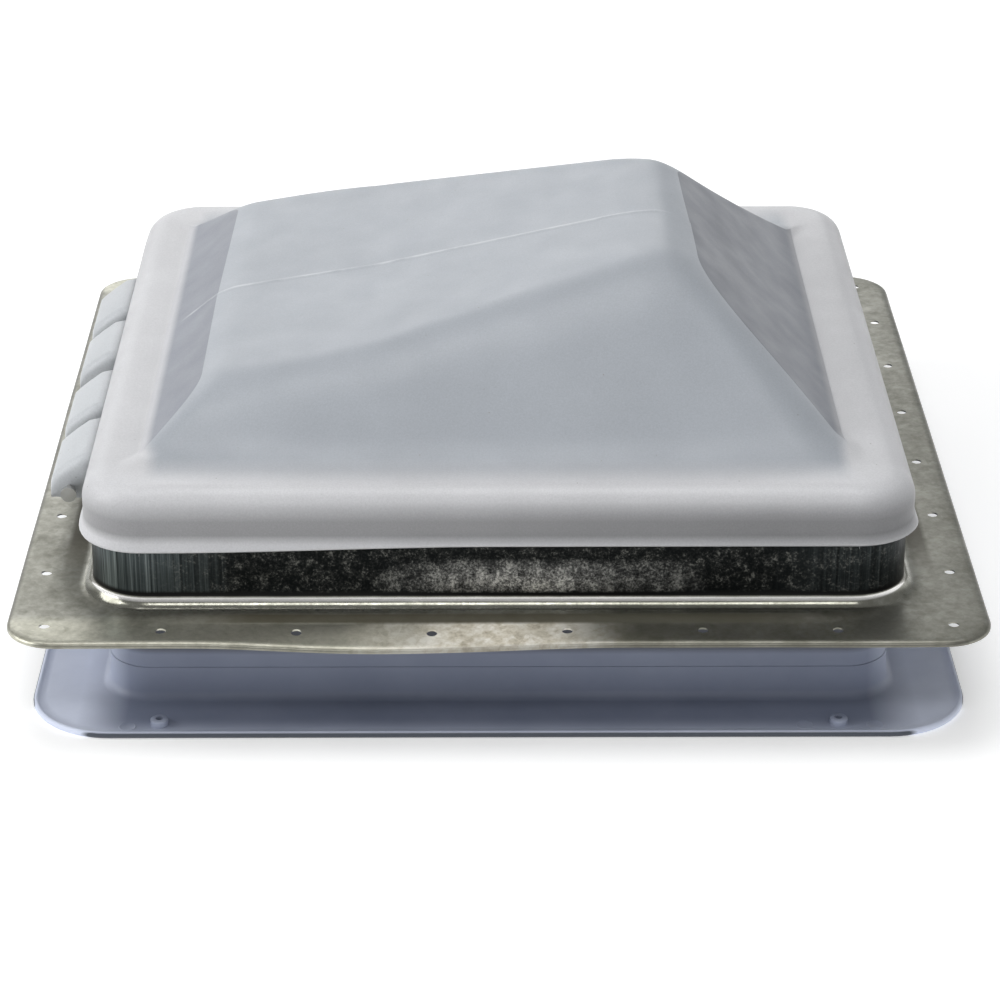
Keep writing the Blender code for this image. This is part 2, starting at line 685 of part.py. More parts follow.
def operator_cover():
    """Closes the wheel's pocket and carries the outer bearing of the output shaft."""
    near, far = CASE_MOUTH + GAP, CASE_MOUTH + GAP + 0.0025
    plate = rods([((PIVOT.x, near, PIVOT.z), (PIVOT.x, far, PIVOT.z))], CASE_RADIUS, 32)
    for angle in COVER_EARS:
        join(plate, rods([(in_plane(angle, EAR_RADIUS, near),
                           in_plane(angle, EAR_RADIUS, far))], 0.0045, 14))
    join(plate, rods([((PIVOT.x, near + 0.001, PIVOT.z), (PIVOT.x, far + 0.0030, PIVOT.z))],
                     0.0080, 24))
    cut(plate, rods([((WORM.x, WORM_Y, WORM.z - 0.04), (WORM.x, WORM_Y, WORM.z + 0.04))],
                    TUBE_RADIUS + GAP, 24))
    cut(plate, rods([((PIVOT.x, near - 0.01, PIVOT.z), (PIVOT.x, far + 0.01, PIVOT.z))],
                    0.0043, 16))
    cut(plate, rods([(in_plane(a, EAR_RADIUS, near - 0.01), in_plane(a, EAR_RADIUS, far + 0.01))
                     for a in COVER_EARS], 0.0019, 12))
    return finish(plate, "operator_cover", CAST_ZINC)


def cover_screw(name, angle):
    face = CASE_MOUTH + GAP + 0.0025 + GAP
    stations = [(0.0032, face, face + 0.0018), (0.0016, -0.0195, face)]
    body = pin(stations, in_plane(angle, EAR_RADIUS, 0.0), (0, 1, 0), 12)
    return finish(body, name, ZINC_STEEL)


def worm_wheel(parent):
    """24 teeth. A tooth points at the worm at rest, between two turns of its thread."""
    flanks = [(WHEEL_RADIUS - DEDENDUM, 0.00110 + DEDENDUM * PRESSURE),
              (WHEEL_RADIUS + ADDENDUM, 0.00110 - ADDENDUM * PRESSURE)]
    outline = []
    for tooth in range(TEETH):
        middle = 2 * math.pi * tooth / TEETH
        for radius, half in (flanks[0], flanks[1]):
            outline.append((radius, middle - half / radius))
        for radius, half in (flanks[1], flanks[0]):
            outline.append((radius, middle + half / radius))
    outline = [(radius * math.cos(a), radius * math.sin(a)) for radius, a in outline]
    place = (PIVOT.x, WORM_Y, PIVOT.z)
    wheel = flat_plate([outline, circle(0.0, 0.0, 0.0043)], WHEEL_WIDTH, place, STANDING)
    return finish(wheel, "worm_wheel", NYLON, parent)


def output_shaft(parent):
    stations = [(0.0040, CASE_BACK - 0.0012, 0.0034)]
    return finish(pin(stations, PIVOT, (0, 1, 0)), "output_shaft", ZINC_STEEL, parent)


def arm_retainer(parent):
    face = ARM_THICKNESS / 2 + GAP
    clip = washer(0.0043, 0.0075, face, face + 0.0010, PIVOT, (0, 1, 0))
    return finish(clip, "arm_retainer", ZINC_STEEL, parent)


def worm_thread():
    """A right-hand thread of three and a half turns, a tooth's place from the wheel's axis."""
    steps_per_turn = 14
    thread_half = 0.0012
    section = []
    for radius in (0.0040, WORM_RADIUS + ADDENDUM):
        half = thread_half - (radius - WORM_RADIUS) * PRESSURE
        section.append((radius, half))
    bm = bmesh.new()
    previous = first = None
    for step in range(-2 * steps_per_turn, 3 * steps_per_turn // 2 + 1):
        angle = math.pi + 2 * math.pi * step / steps_per_turn
        middle = LEAD / 2 + LEAD * step / steps_per_turn
        (inner, wide), (outer, thin) = section
        points = [(inner, middle + wide), (outer, middle + thin),
                  (outer, middle - thin), (inner, middle - wide)]
        loop = [bm.verts.new((r * math.cos(angle), r * math.sin(angle), z)) for r, z in points]
        if previous:
            for i in range(4):
                j = (i + 1) % 4
                bm.faces.new((previous[i], previous[j], loop[j], loop[i]))
        else:
            first = loop
        previous = loop
    bm.faces.new(first)
    bm.faces.new(previous[::-1])
    thread = object_from(bm, "thread")
    thread.location = WORM
    return thread


def worm_shaft(parent):
    """Top journal, thrust collar, worm, thrust collar, and the long stem down to the knob."""
    stations = [(0.0035, 0.0186, 0.0262), (0.0070, 0.0160, 0.0186), (0.0046, -0.0160, 0.0160),
                (0.0070, -0.0186, -0.0160), (0.0040, -0.0525, -0.0186)]
    shaft = pin(stations, WORM, steps=20)
    join(shaft, worm_thread())
    cut(shaft, rods([((WORM.x, WORM.y, WORM.z - 0.06), (WORM.x, WORM.y, WORM.z - 0.0430))],
                    0.0019, 12))
    return finish(shaft, "worm_shaft", ZINC_STEEL, parent)


def worm_bushing():
    """A nylon plug that closes the tube's lower end and guides the stem."""
    profile = [(0.0043, -0.0190), (0.0092, -0.0190), (0.0092, -0.0273), (0.0120, -0.0273),
               (0.0120, -0.0290), (0.0043, -0.0290)]
    return finish(turned(profile, WORM, closed=True), "worm_bushing", NYLON)


def crank_knob(parent):
    """A six-lobed hand knob with a hub that reaches up through the insect screen."""
    bottom, deck, hub = 0.0030, 0.0175, 0.0330
    lobes = 6
    outline = []
    for i in range(48):
        a = 2 * math.pi * i / 48
        outline.append(((0.0205 + 0.0017 * math.cos(lobes * a)) * math.cos(a),
                        (0.0205 + 0.0017 * math.cos(lobes * a)) * math.sin(a)))
    knob = flat_plate([outline], deck - bottom, (WORM.x, WORM.y, (bottom + deck) / 2))
    join(knob, rods([((WORM.x, WORM.y, deck - 0.002), (WORM.x, WORM.y, hub))], 0.0090, 24))
    cut(knob, rods([((WORM.x, WORM.y, 0.0125), (WORM.x, WORM.y, hub + 0.01))], 0.0043, 20))
    cut(knob, rods([((WORM.x, WORM.y, 0.0), (WORM.x, WORM.y, 0.0075))], 0.0055, 20))
    cut(knob, rods([((WORM.x, WORM.y, 0.0), (WORM.x, WORM.y, 0.02))], 0.0019, 12))
    return finish(knob, "crank_knob", KNOB_PLASTIC, parent)


def knob_screw(parent):
    stations = [(0.0016, 0.0072, 0.0205), (0.0042, 0.0045, 0.0072)]
    body = pin(stations, (WORM.x, WORM.y, 0.0), steps=14)
    return finish(body, "knob_screw", ZINC_STEEL, parent)


def operator_bar():
    """A strip across the neck, its ends bent up and riveted to the neck's walls."""
    reach = NECK_HALF - SHEET - GAP
    rise = UP + 0.0430
    outline = [(-reach, BAR_UP), (reach, BAR_UP), (reach, rise), (reach - BAR_THICKNESS, rise),
               (reach - BAR_THICKNESS, BAR_UP + BAR_THICKNESS),
               (BAR_THICKNESS - reach, BAR_UP + BAR_THICKNESS), (BAR_THICKNESS - reach, rise),
               (-reach, rise)]
    width = BAR_X[1] - BAR_X[0]
    middle = ((BAR_X[0] + BAR_X[1]) / 2, 0.0, 0.0)
    bar = flat_plate([outline], width, middle, (math.pi / 2, 0.0, math.pi / 2))
    cut(bar, rivet_holes(NECK_HALF + 0.004, NECK_HALF - 0.006))
    cut(bar, rods([((x, y, BAR_UP - 0.003), (x, y, BAR_UP + 0.005)) for x, y in FOOT_SCREWS],
                  0.0024))
    return finish(bar, "operator_bar", GALVANISED)


def foot_screw(name, x, y):
    top = BAR_UP + BAR_THICKNESS + GAP + 0.0050 + GAP
    stations = [(0.0038, top, top + 0.0024), (0.0020, BAR_UP - 0.0050, top)]
    return finish(pin(stations, (x, y, 0.0), steps=14), name, ZINC_STEEL)


def foot_nut(name, x, y):
    high = BAR_UP - GAP
    hexagon = circle(0.0, 0.0, 0.0040, 6)
    nut = flat_plate([hexagon, circle(0.0, 0.0, 0.0023, 12)], 0.0032, (x, y, high - 0.0016))
    return finish(nut, name, ZINC_STEEL)


# ---- trim ring and screen -----------------------------------------------------------------
def trim_ring():
    """The interior ring: an upright collar, a flat face and a rounded, raised outer edge."""
    floor = TRIM_FLOOR
    section = [(-0.0014, 0.0), (-0.0002, 0.0008), (0.0, 0.0022), (-0.0008, 0.0030),
               (-0.0022, 0.0030), (-0.0032, floor)]
    levels = [(square(TRIM_HALF + back, TRIM_CORNER + back), z) for back, z in section]
    offset = COLLAR_BASE_HALF - COLLAR_CORNER
    collar = [(COLLAR_BASE_HALF + COLLAR_FILLET - x, floor + COLLAR_FILLET - z)
              for x, z in arc(0.0, 0.0, COLLAR_FILLET, 90.0, 0.0, 3)]
    collar += [(COLLAR_HALF, COLLAR_TOP), (COLLAR_HALF - COLLAR_WALL, COLLAR_TOP),
               (COLLAR_BASE_HALF - COLLAR_WALL, floor + COLLAR_FILLET),
               (COLLAR_BASE_HALF - COLLAR_WALL + 0.0010, 0.0010),
               (COLLAR_BASE_HALF, 0.0)]
    levels += [(square(half, half - offset), z) for half, z in collar]
    piece = loft(levels, closed=True)
    for side in (-1, 1):
        for place in (-0.1000, 0.1000):
            low, high = SCREEN_UP - 0.0060, SCREEN_UP - 0.0028 - GAP
            reach = (0.1665, COLLAR_HALF)
            near, far = sorted((side * reach[0], side * reach[1]))
            join(piece, box((near, place - 0.008, low), (far, place + 0.008, high)))
            join(piece, box((place - 0.008, near, low), (place + 0.008, far, high)))
    places = [(x, side * 0.1990) for x in (-0.1500, 0.1500) for side in (-1, 1)]
    join(piece, rods([((x, y, 0.0010), (x, y, floor + 0.0024)) for x, y in places], 0.0040, 16))
    cut(piece, rods([((x, y, -0.002), (x, y, 0.010)) for x, y in places], 0.0022))
    return finish(piece, "trim_ring", TRIM_PLASTIC)


def screen_frame():
    """A rim with a ledge for the mesh."""
    low, ledge, high = SCREEN_UP - 0.0028, SCREEN_UP, SCREEN_UP + 0.0040
    inner, step, outer = 0.1560, 0.1660, 0.1720
    section = [(inner, low), (outer, low), (outer, high), (step, high), (step, ledge),
               (inner, ledge)]
    return finish(ring(section, 0.1520), "screen_frame", TRIM_PLASTIC)


def insect_screen():
    """The mesh, as a thin sheet with a hole for the knob's hub."""
    outline = [(p.x, p.y) for p in square(0.1655, 0.0135)]
    hole = circle(WORM.x, WORM.y, 0.0125, 20)
    sheet = flat_plate([outline, hole], 0.0006, (0.0, 0.0, SCREEN_UP + GAP + 0.0003))
    return finish(sheet, "insect_screen", SCREEN)


def screen_grommet():
    """A rubber ring in the mesh's hole, with a groove that holds the mesh's edge."""
    middle = SCREEN_UP + GAP + 0.0003
    profile = [(0.0102, 0.0016), (0.0150, 0.0016), (0.0150, 0.0006), (0.0122, 0.0006),
               (0.0122, -0.0006), (0.0150, -0.0006), (0.0150, -0.0016), (0.0102, -0.0016)]
    grommet = turned(profile, (WORM.x, WORM.y, middle), closed=True)
    return finish(grommet, "screen_grommet", RUBBER)


def screen_spline():
    """The cord that holds the mesh down on the frame's ledge."""
    low = SCREEN_UP + 2 * GAP + 0.0006
    section = [(0.1615, low), (0.1655, low), (0.1655, low + 0.0028), (0.1615, low + 0.0028)]
    return finish(ring(section, 0.1520), "screen_spline", RUBBER)


# ---- the whole vent -----------------------------------------------------------------------
def build():
    base_flange()
    neck_gasket()
    outer = -(NECK_HALF + GAP + LEAF_THICKNESS)
    for k, y in enumerate(LEAF_RIVETS):
        rivet(f"leaf_rivet_{k + 1}", (outer, y, LEAF_RIVET_UP),
              (SHEET - NECK_HALF, y, LEAF_RIVET_UP), (-1, 0, 0))
    for k, (x, side) in enumerate(BAR_RIVETS):
        inner = NECK_HALF - SHEET - GAP - BAR_THICKNESS
        rivet(f"bar_rivet_{k + 1}", (x, side * NECK_HALF, BAR_RIVET_UP),
              (x, side * inner, BAR_RIVET_UP), (0, side, 0))
    hinge_leaf()
    hinge_pin()
    hinge_pin_retainer()

    lid_axis = axis_point("lid_axis", HINGE)
    lid(lid_axis)
    track_rail(lid_axis)
    for name, (x, foot) in HANGERS.items():
        track_hanger(name, x, foot, lid_axis)
        for k, y in enumerate(HANGER_SCREWS):
            hanger_screw(f"hanger_screw_{name}_{k + 1}", x, y, foot, lid_axis)
    for name, place in hanger_rivet_places().items():
        hanger_rivet(f"hanger_rivet_{name}", place, lid_axis)

    arm_axis = axis_point("arm_axis", PIVOT)
    lift_arm(arm_axis)
    worm_wheel(arm_axis)
    output_shaft(arm_axis)
    arm_retainer(arm_axis)
    roller_pin(arm_axis)
    roller_axis = axis_point("roller_axis", ROLLER)
    track_roller(roller_axis)

    operator_bar()
    operator_housing()
    operator_cover()
    for k, angle in enumerate(COVER_EARS):
        cover_screw(f"cover_screw_{k + 1}", angle)
    for k, (x, y) in enumerate(FOOT_SCREWS):
        foot_screw(f"foot_screw_{k + 1}", x, y)
        foot_nut(f"foot_nut_{k + 1}", x, y)
    worm_bushing()
    worm_axis = axis_point("worm_axis", WORM)
    worm_shaft(worm_axis)
    crank_knob(worm_axis)
    knob_screw(worm_axis)

    trim_ring()
    screen_frame()
    insect_screen()
    screen_grommet()
    screen_spline()


build()
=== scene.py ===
"""Looks of a roof vent: a translucent domed lid on a galvanised base, with its interior trim
ring, insect screen and crank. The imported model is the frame; everything is in metres."""

import math

import bmesh
import bpy
from mathutils import Matrix, Vector, noise


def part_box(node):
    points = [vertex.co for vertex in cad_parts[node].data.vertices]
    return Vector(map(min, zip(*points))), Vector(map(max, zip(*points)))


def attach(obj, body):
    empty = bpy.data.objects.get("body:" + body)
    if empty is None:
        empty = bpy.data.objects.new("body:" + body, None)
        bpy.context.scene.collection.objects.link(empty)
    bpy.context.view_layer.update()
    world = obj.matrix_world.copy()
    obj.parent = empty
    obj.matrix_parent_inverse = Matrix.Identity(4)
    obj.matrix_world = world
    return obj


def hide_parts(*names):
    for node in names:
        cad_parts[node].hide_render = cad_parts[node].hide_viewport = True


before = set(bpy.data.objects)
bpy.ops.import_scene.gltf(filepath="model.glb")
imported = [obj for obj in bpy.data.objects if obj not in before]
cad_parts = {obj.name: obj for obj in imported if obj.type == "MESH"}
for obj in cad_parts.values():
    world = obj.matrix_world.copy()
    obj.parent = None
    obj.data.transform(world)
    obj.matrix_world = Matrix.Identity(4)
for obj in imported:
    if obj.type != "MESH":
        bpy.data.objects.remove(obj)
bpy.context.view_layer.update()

# ---- places taken from the frame ----------------------------------------------------------
FLANGE_LIP = 0.0022           # how far the flange's turned edge hangs below its top
FLANGE_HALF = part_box("base_flange")[1].x
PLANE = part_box("base_flange")[0].z + FLANGE_LIP      # the top of the flange
NECK_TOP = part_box("base_flange")[1].z
LIP_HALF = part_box("lid")[1].x
TRIM_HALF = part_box("trim_ring")[1].x
TRIM_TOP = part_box("trim_ring")[1].z
MM = 0.001
SHEET = 0.8 * MM              # thickness of the galvanised sheet
LATHE_STEPS = 32


# ---- small tools --------------------------------------------------------------------------
def smooth_min(a, b, k):
    """The lower of two heights, rounded where they are closer than k."""
    near = max(k - abs(a - b), 0.0)
    return min(a, b) - near * near / (4 * k)


def smooth_max(a, b, k):
    """The higher of two heights, rounded in the same way."""
    return -smooth_min(-a, -b, k)


def ease(value):
    """0 to 1 with level ends."""
    value = min(max(value, 0.0), 1.0)
    return value * value * (3 - 2 * value)


def mix(a, b, share):
    """a at share 0, b at share 1."""
    return a + (b - a) * share


def mesh_object(name, bm, angle=40.0):
    """An object with smooth shading, and sharp edges where faces meet at more than the angle."""
    mesh = bpy.data.meshes.new(name)
    bm.to_mesh(mesh)
    bm.free()
    mesh.shade_smooth()
    mesh.set_sharp_from_angle(angle=math.radians(angle))
    obj = bpy.data.objects.new(name, mesh)
    bpy.context.scene.collection.objects.link(obj)
    return obj


def skin(bm, rows, closed=True):
    """Quads between rows of points that all have as many points; returns the vertex rows."""
    loops = [[bm.verts.new(p) for p in row] for row in rows]
    skin_between(bm, loops, closed)
    return loops


def skin_between(bm, loops, closed=True, material=0):
    """Quads between rows of vertices, or triangles where two corners are one vertex."""
    for a, b in zip(loops, loops[1:]):
        count = len(a)
        for i in range(count if closed else count - 1):
            j = (i + 1) % count
            corners = list(dict.fromkeys((a[i], a[j], b[j], b[i])))
            if len(corners) > 2:
                bm.faces.new(corners).material_index = material


def square(half, radius, height, steps, between):
    """A rounded square of points, counter-clockwise from its left side's lower end."""
    centres = ((-1, -1, 180.0), (1, -1, 270.0), (1, 1, 0.0), (-1, 1, 90.0))
    corners = []
    for sx, sy, first in centres:
        cx, cy = sx * (half - radius), sy * (half - radius)
        turns = [math.radians(first + 90.0 * k / steps) for k in range(steps + 1)]
        corners.append([Vector((cx + radius * math.cos(a), cy + radius * math.sin(a), height))
                        for a in turns])
    points = []
    for corner, following in zip(corners, corners[1:] + corners[:1]):
        points += corner
        points += [corner[-1].lerp(following[0], k / between) for k in range(1, between)]
    return points


def arc(x, z, radius, first, last, steps):
    """Points (x, z) along an arc, its two angles in degrees."""
    turns = [math.radians(mix(first, last, i / steps)) for i in range(steps + 1)]
    return [(x + radius * math.cos(a), z + radius * math.sin(a)) for a in turns]


def lathe(bm, profile, place, material=0):
    """A turned form from (radius, height) points; a radius of 0 closes it."""
    turns = [2 * math.pi * k / LATHE_STEPS for k in range(LATHE_STEPS)]
    loops = []
    for radius, height in profile:
        if radius == 0.0:
            tip = bm.verts.new(Vector(place) + Vector((0.0, 0.0, height)))
            loops.append([tip] * LATHE_STEPS)
            continue
        ring = [Vector((radius * math.cos(a), radius * math.sin(a), height)) for a in turns]
        loops.append([bm.verts.new(Vector(place) + spot) for spot in ring])
    skin_between(bm, loops, material=material)


def cut_out(target, tool):
    """Cuts the tool out of the target for good, and removes the tool."""
    step = target.modifiers.new("cut", "BOOLEAN")
    step.operation = "DIFFERENCE"
    step.solver = "EXACT"
    step.object = tool
    bpy.context.view_layer.update()
    graph = bpy.context.evaluated_depsgraph_get()
    mesh = bpy.data.meshes.new_from_object(target.evaluated_get(graph))
    target.modifiers.clear()
    target.data = mesh
    bpy.data.objects.remove(tool, do_unlink=True)


# ---- materials ----------------------------------------------------------------------------
class Surface:
    """A node material on one Principled shader, built up by short calls."""

    def __init__(self, name, colour, roughness, metallic=0.0, **constants):
        self.material = bpy.data.materials.new(name)
        self.material.use_nodes = True
        self.tree = self.material.node_tree
        self.shader = self.tree.nodes["Principled BSDF"]
        self.set("Base Color", (*colour, 1.0))
        self.set("Roughness", roughness)
        self.set("Metallic", metallic)
        for key, value in constants.items():
            self.set(key.replace("_", " "), value)
        self.place = self.tree.nodes.new("ShaderNodeTexCoord").outputs["Object"]

    def set(self, socket, value):
        self.shader.inputs[socket].default_value = value

    def link(self, output, socket):
        self.tree.links.new(output, socket)

    def math(self, operation, a, b=0.0, c=0.0):
        node = self.tree.nodes.new("ShaderNodeMath")
        node.operation = operation
        for socket, value in zip(node.inputs, (a, b, c)):
            if isinstance(value, (int, float)):
                socket.default_value = value
            else:
                self.link(value, socket)
        return node.outputs[0]

    def stretched(self, scale):
        """Object coordinates scaled along each axis."""
        node = self.tree.nodes.new("ShaderNodeMapping")
        node.inputs["Scale"].default_value = scale
        self.link(self.place, node.inputs["Vector"])
        return node.outputs["Vector"]

    def axis(self, name):
        node = self.tree.nodes.new("ShaderNodeSeparateXYZ")
        self.link(self.place, node.inputs[0])
        return node.outputs[name]

    def noise(self, scale, detail=2.0, roughness=0.5, vector=None):
        node = self.tree.nodes.new("ShaderNodeTexNoise")
        node.inputs["Scale"].default_value = scale
        node.inputs["Detail"].default_value = detail
        node.inputs["Roughness"].default_value = roughness
        self.link(vector or self.place, node.inputs["Vector"])
        return node.outputs["Fac"]

    def cells(self, scale, output):
        node = self.tree.nodes.new("ShaderNodeTexVoronoi")
        node.inputs["Scale"].default_value = scale
        self.link(self.place, node.inputs["Vector"])
        return node.outputs[output]

    def ramp(self, factor, stops):
        """Colours (or greys) along a factor: stops are (position, colour)."""
        node = self.tree.nodes.new("ShaderNodeValToRGB")
        band = node.color_ramp
        while len(band.elements) < len(stops):
            band.elements.new(1.0)
        for element, (position, colour) in zip(band.elements, stops):
            element.position = position
            colour = (colour,) * 3 if isinstance(colour, (int, float)) else colour
            element.color = (*colour, 1.0)
        self.link(factor, node.inputs["Fac"])
        return node.outputs["Color"]

    def range(self, value, low, high, to_low=0.0, to_high=1.0):
        """0 at low and 1 at high, or to_low and to_high, and no further past either end."""
        node = self.tree.nodes.new("ShaderNodeMapRange")
        for socket, number in zip(("From Min", "From Max", "To Min", "To Max"),
                                  (low, high, to_low, to_high)):
            node.inputs[socket].default_value = number
        self.link(value, node.inputs["Value"])
        return node.outputs["Result"]

    def blend(self, factor, a, b, kind="MIX"):
        """From colour a to colour b; either may be a tuple or a node's output."""
        node = self.tree.nodes.new("ShaderNodeMix")
        node.data_type = "RGBA"
        node.blend_type = kind
        colours = [s for s in node.inputs if s.type == "RGBA"]
        for socket, value in zip(colours, (a, b)):
            if isinstance(value, tuple):
                socket.default_value = (*value, 1.0)
            else:
                self.link(value, socket)
        if isinstance(factor, (int, float)):
            node.inputs["Factor"].default_value = factor
        else:
            self.link(factor, node.inputs["Factor"])
        return [s for s in node.outputs if s.type == "RGBA"][0]

    def colour(self, output):
        self.link(output, self.shader.inputs["Base Color"])

    def roughness(self, output):
        self.link(output, self.shader.inputs["Roughness"])

    def bump(self, heights):
        """Heights are (output, metres of relief) pairs, laid one over another."""
        normal = None
        for output, distance in heights:
            node = self.tree.nodes.new("ShaderNodeBump")
            node.inputs["Distance"].default_value = distance
            node.inputs["Strength"].default_value = 1.0
            self.link(output, node.inputs["Height"])
            if normal:
                self.link(normal, node.inputs["Normal"])
            normal = node.outputs["Normal"]
        self.link(normal, self.shader.inputs["Normal"])


def lid_plastic(name, dome, rim, right=1.0, skirt=True):
    """Translucent white: whiter at the rim, greyer and bluer on the thin dome, with dust, and
    painted light and shade on the skirt, the facets, the outer rim and the crease.
    """
    s = Surface(name, dome, 0.40, Subsurface_Weight=0.12, Subsurface_Scale=0.004,
                Specular_IOR_Level=0.42)
    s.set("Subsurface Radius", (1.0, 1.0, 1.0))
    up = s.axis("Z")
    # Paler beyond the dome's two ends, and palest along the front and back of the outer rim, a
    # painted highlight.
    ends = s.math("MULTIPLY", s.range(s.math("ABSOLUTE", s.axis("X")), 0.150, 0.156),
                  s.range(up, PLANE + 0.0600, PLANE + 0.0570))
    outer = s.range(s.math("ABSOLUTE", s.axis("Y")), 0.150, 0.170)
    # A painted highlight: the front and back of the rim are paler.
    sheen = tuple(min(c * 1.10, 0.9) for c in rim)
    body = s.blend(outer, s.blend(ends, dome, rim), sheen)
    if skirt:      # in its own shade under the bend, and darker towards the right
        shade = s.ramp(s.range(up, PLANE + 0.030, PLANE + 0.056),
                       [(0.10, 0.92), (0.25, 0.45), (0.50, 0.47), (0.95, 1.0)])
        body = s.blend(1.0, body, shade, "MULTIPLY")
        # Painted shade: the skirt is mixed towards black more towards the right.
        skirt_shade_right = s.math("MULTIPLY", s.range(up, PLANE + 0.054, PLANE + 0.046),
                     s.range(s.axis("X"), -0.14, 0.12, 0.0, 0.28))
        body = s.blend(skirt_shade_right, body, (0.0, 0.0, 0.0))
    if right < 1:  # a facet: darker high up, and at the right end
        # Painted shade: darker high up on the facet.
        high = s.range(up, PLANE + 0.060, PLANE + 0.095, 0.0, 0.16)
        body = s.blend(high, body, (0.0, 0.0, 0.0))
        # Painted shade: darker towards the right end.
        facet_shade_right = s.ramp(s.range(s.axis("X"), -0.14, 0.14), [(0.0, 1.0), (1.0, right)])
        body = s.blend(1.0, body, facet_shade_right, "MULTIPLY")
    cloud = s.ramp(s.noise(22.0, 4.0, 0.6), [(0.30, 0.93), (0.70, 1.0)])
    grain = s.ramp(s.noise(1300.0, 2.0), [(0.25, 0.87), (0.75, 1.0)])
    body = s.blend(1.0, s.blend(1.0, body, cloud, "MULTIPLY"), grain, "MULTIPLY")
    # A few dark specks of dirt.
    speck = s.range(s.cells(90.0, "Distance"), 0.02, 0.04)
    body = s.blend(speck, (0.28, 0.28, 0.27), body)
    # A painted highlight: the pale line along the crease, which stops short of the nose.
    line = s.range(s.math("ABSOLUTE", s.axis("Y")), 0.0017, 0.0006)
    line = s.math("MULTIPLY", line, s.range(s.axis("X"), 0.085, 0.060))
    line = s.math("MULTIPLY", line, s.range(s.noise(70.0, 3.0), 0.35, 0.6, 0.1, 0.6))
    line = s.math("MULTIPLY", line, s.range(up, PLANE + 0.061, PLANE + 0.067))
    s.colour(s.blend(line, body, (0.66, 0.68, 0.70)))
    s.roughness(s.range(s.noise(60.0, 3.0), 0.3, 0.7, 0.34, 0.46))
    s.bump([(s.noise(900.0, 2.0), 0.00003), (s.noise(14.0, 1.0), 0.0006)])
    return s.material


def zinc_tone(s):
    """Small spangles under larger cloudy patches, as a grey near 0.5."""
    spangle = s.tree.nodes.new("ShaderNodeRGBToBW")
    s.link(s.cells(260.0, "Color"), spangle.inputs[0])
    tone = s.math("MULTIPLY", s.noise(38.0, 5.0, 0.7), 0.52)
    tone = s.math("MULTIPLY_ADD", spangle.outputs[0], 0.08, tone)
    return s.math("MULTIPLY_ADD", s.noise(230.0, 4.0, 0.7), 0.40, tone)


def dull_zinc(s, tone):
    """The even olive grey under every other mark on the zinc."""
    return s.ramp(tone, [(0.36, (0.20, 0.198, 0.162)), (0.50, (0.29, 0.287, 0.245)),
                         (0.66, (0.40, 0.395, 0.35))])


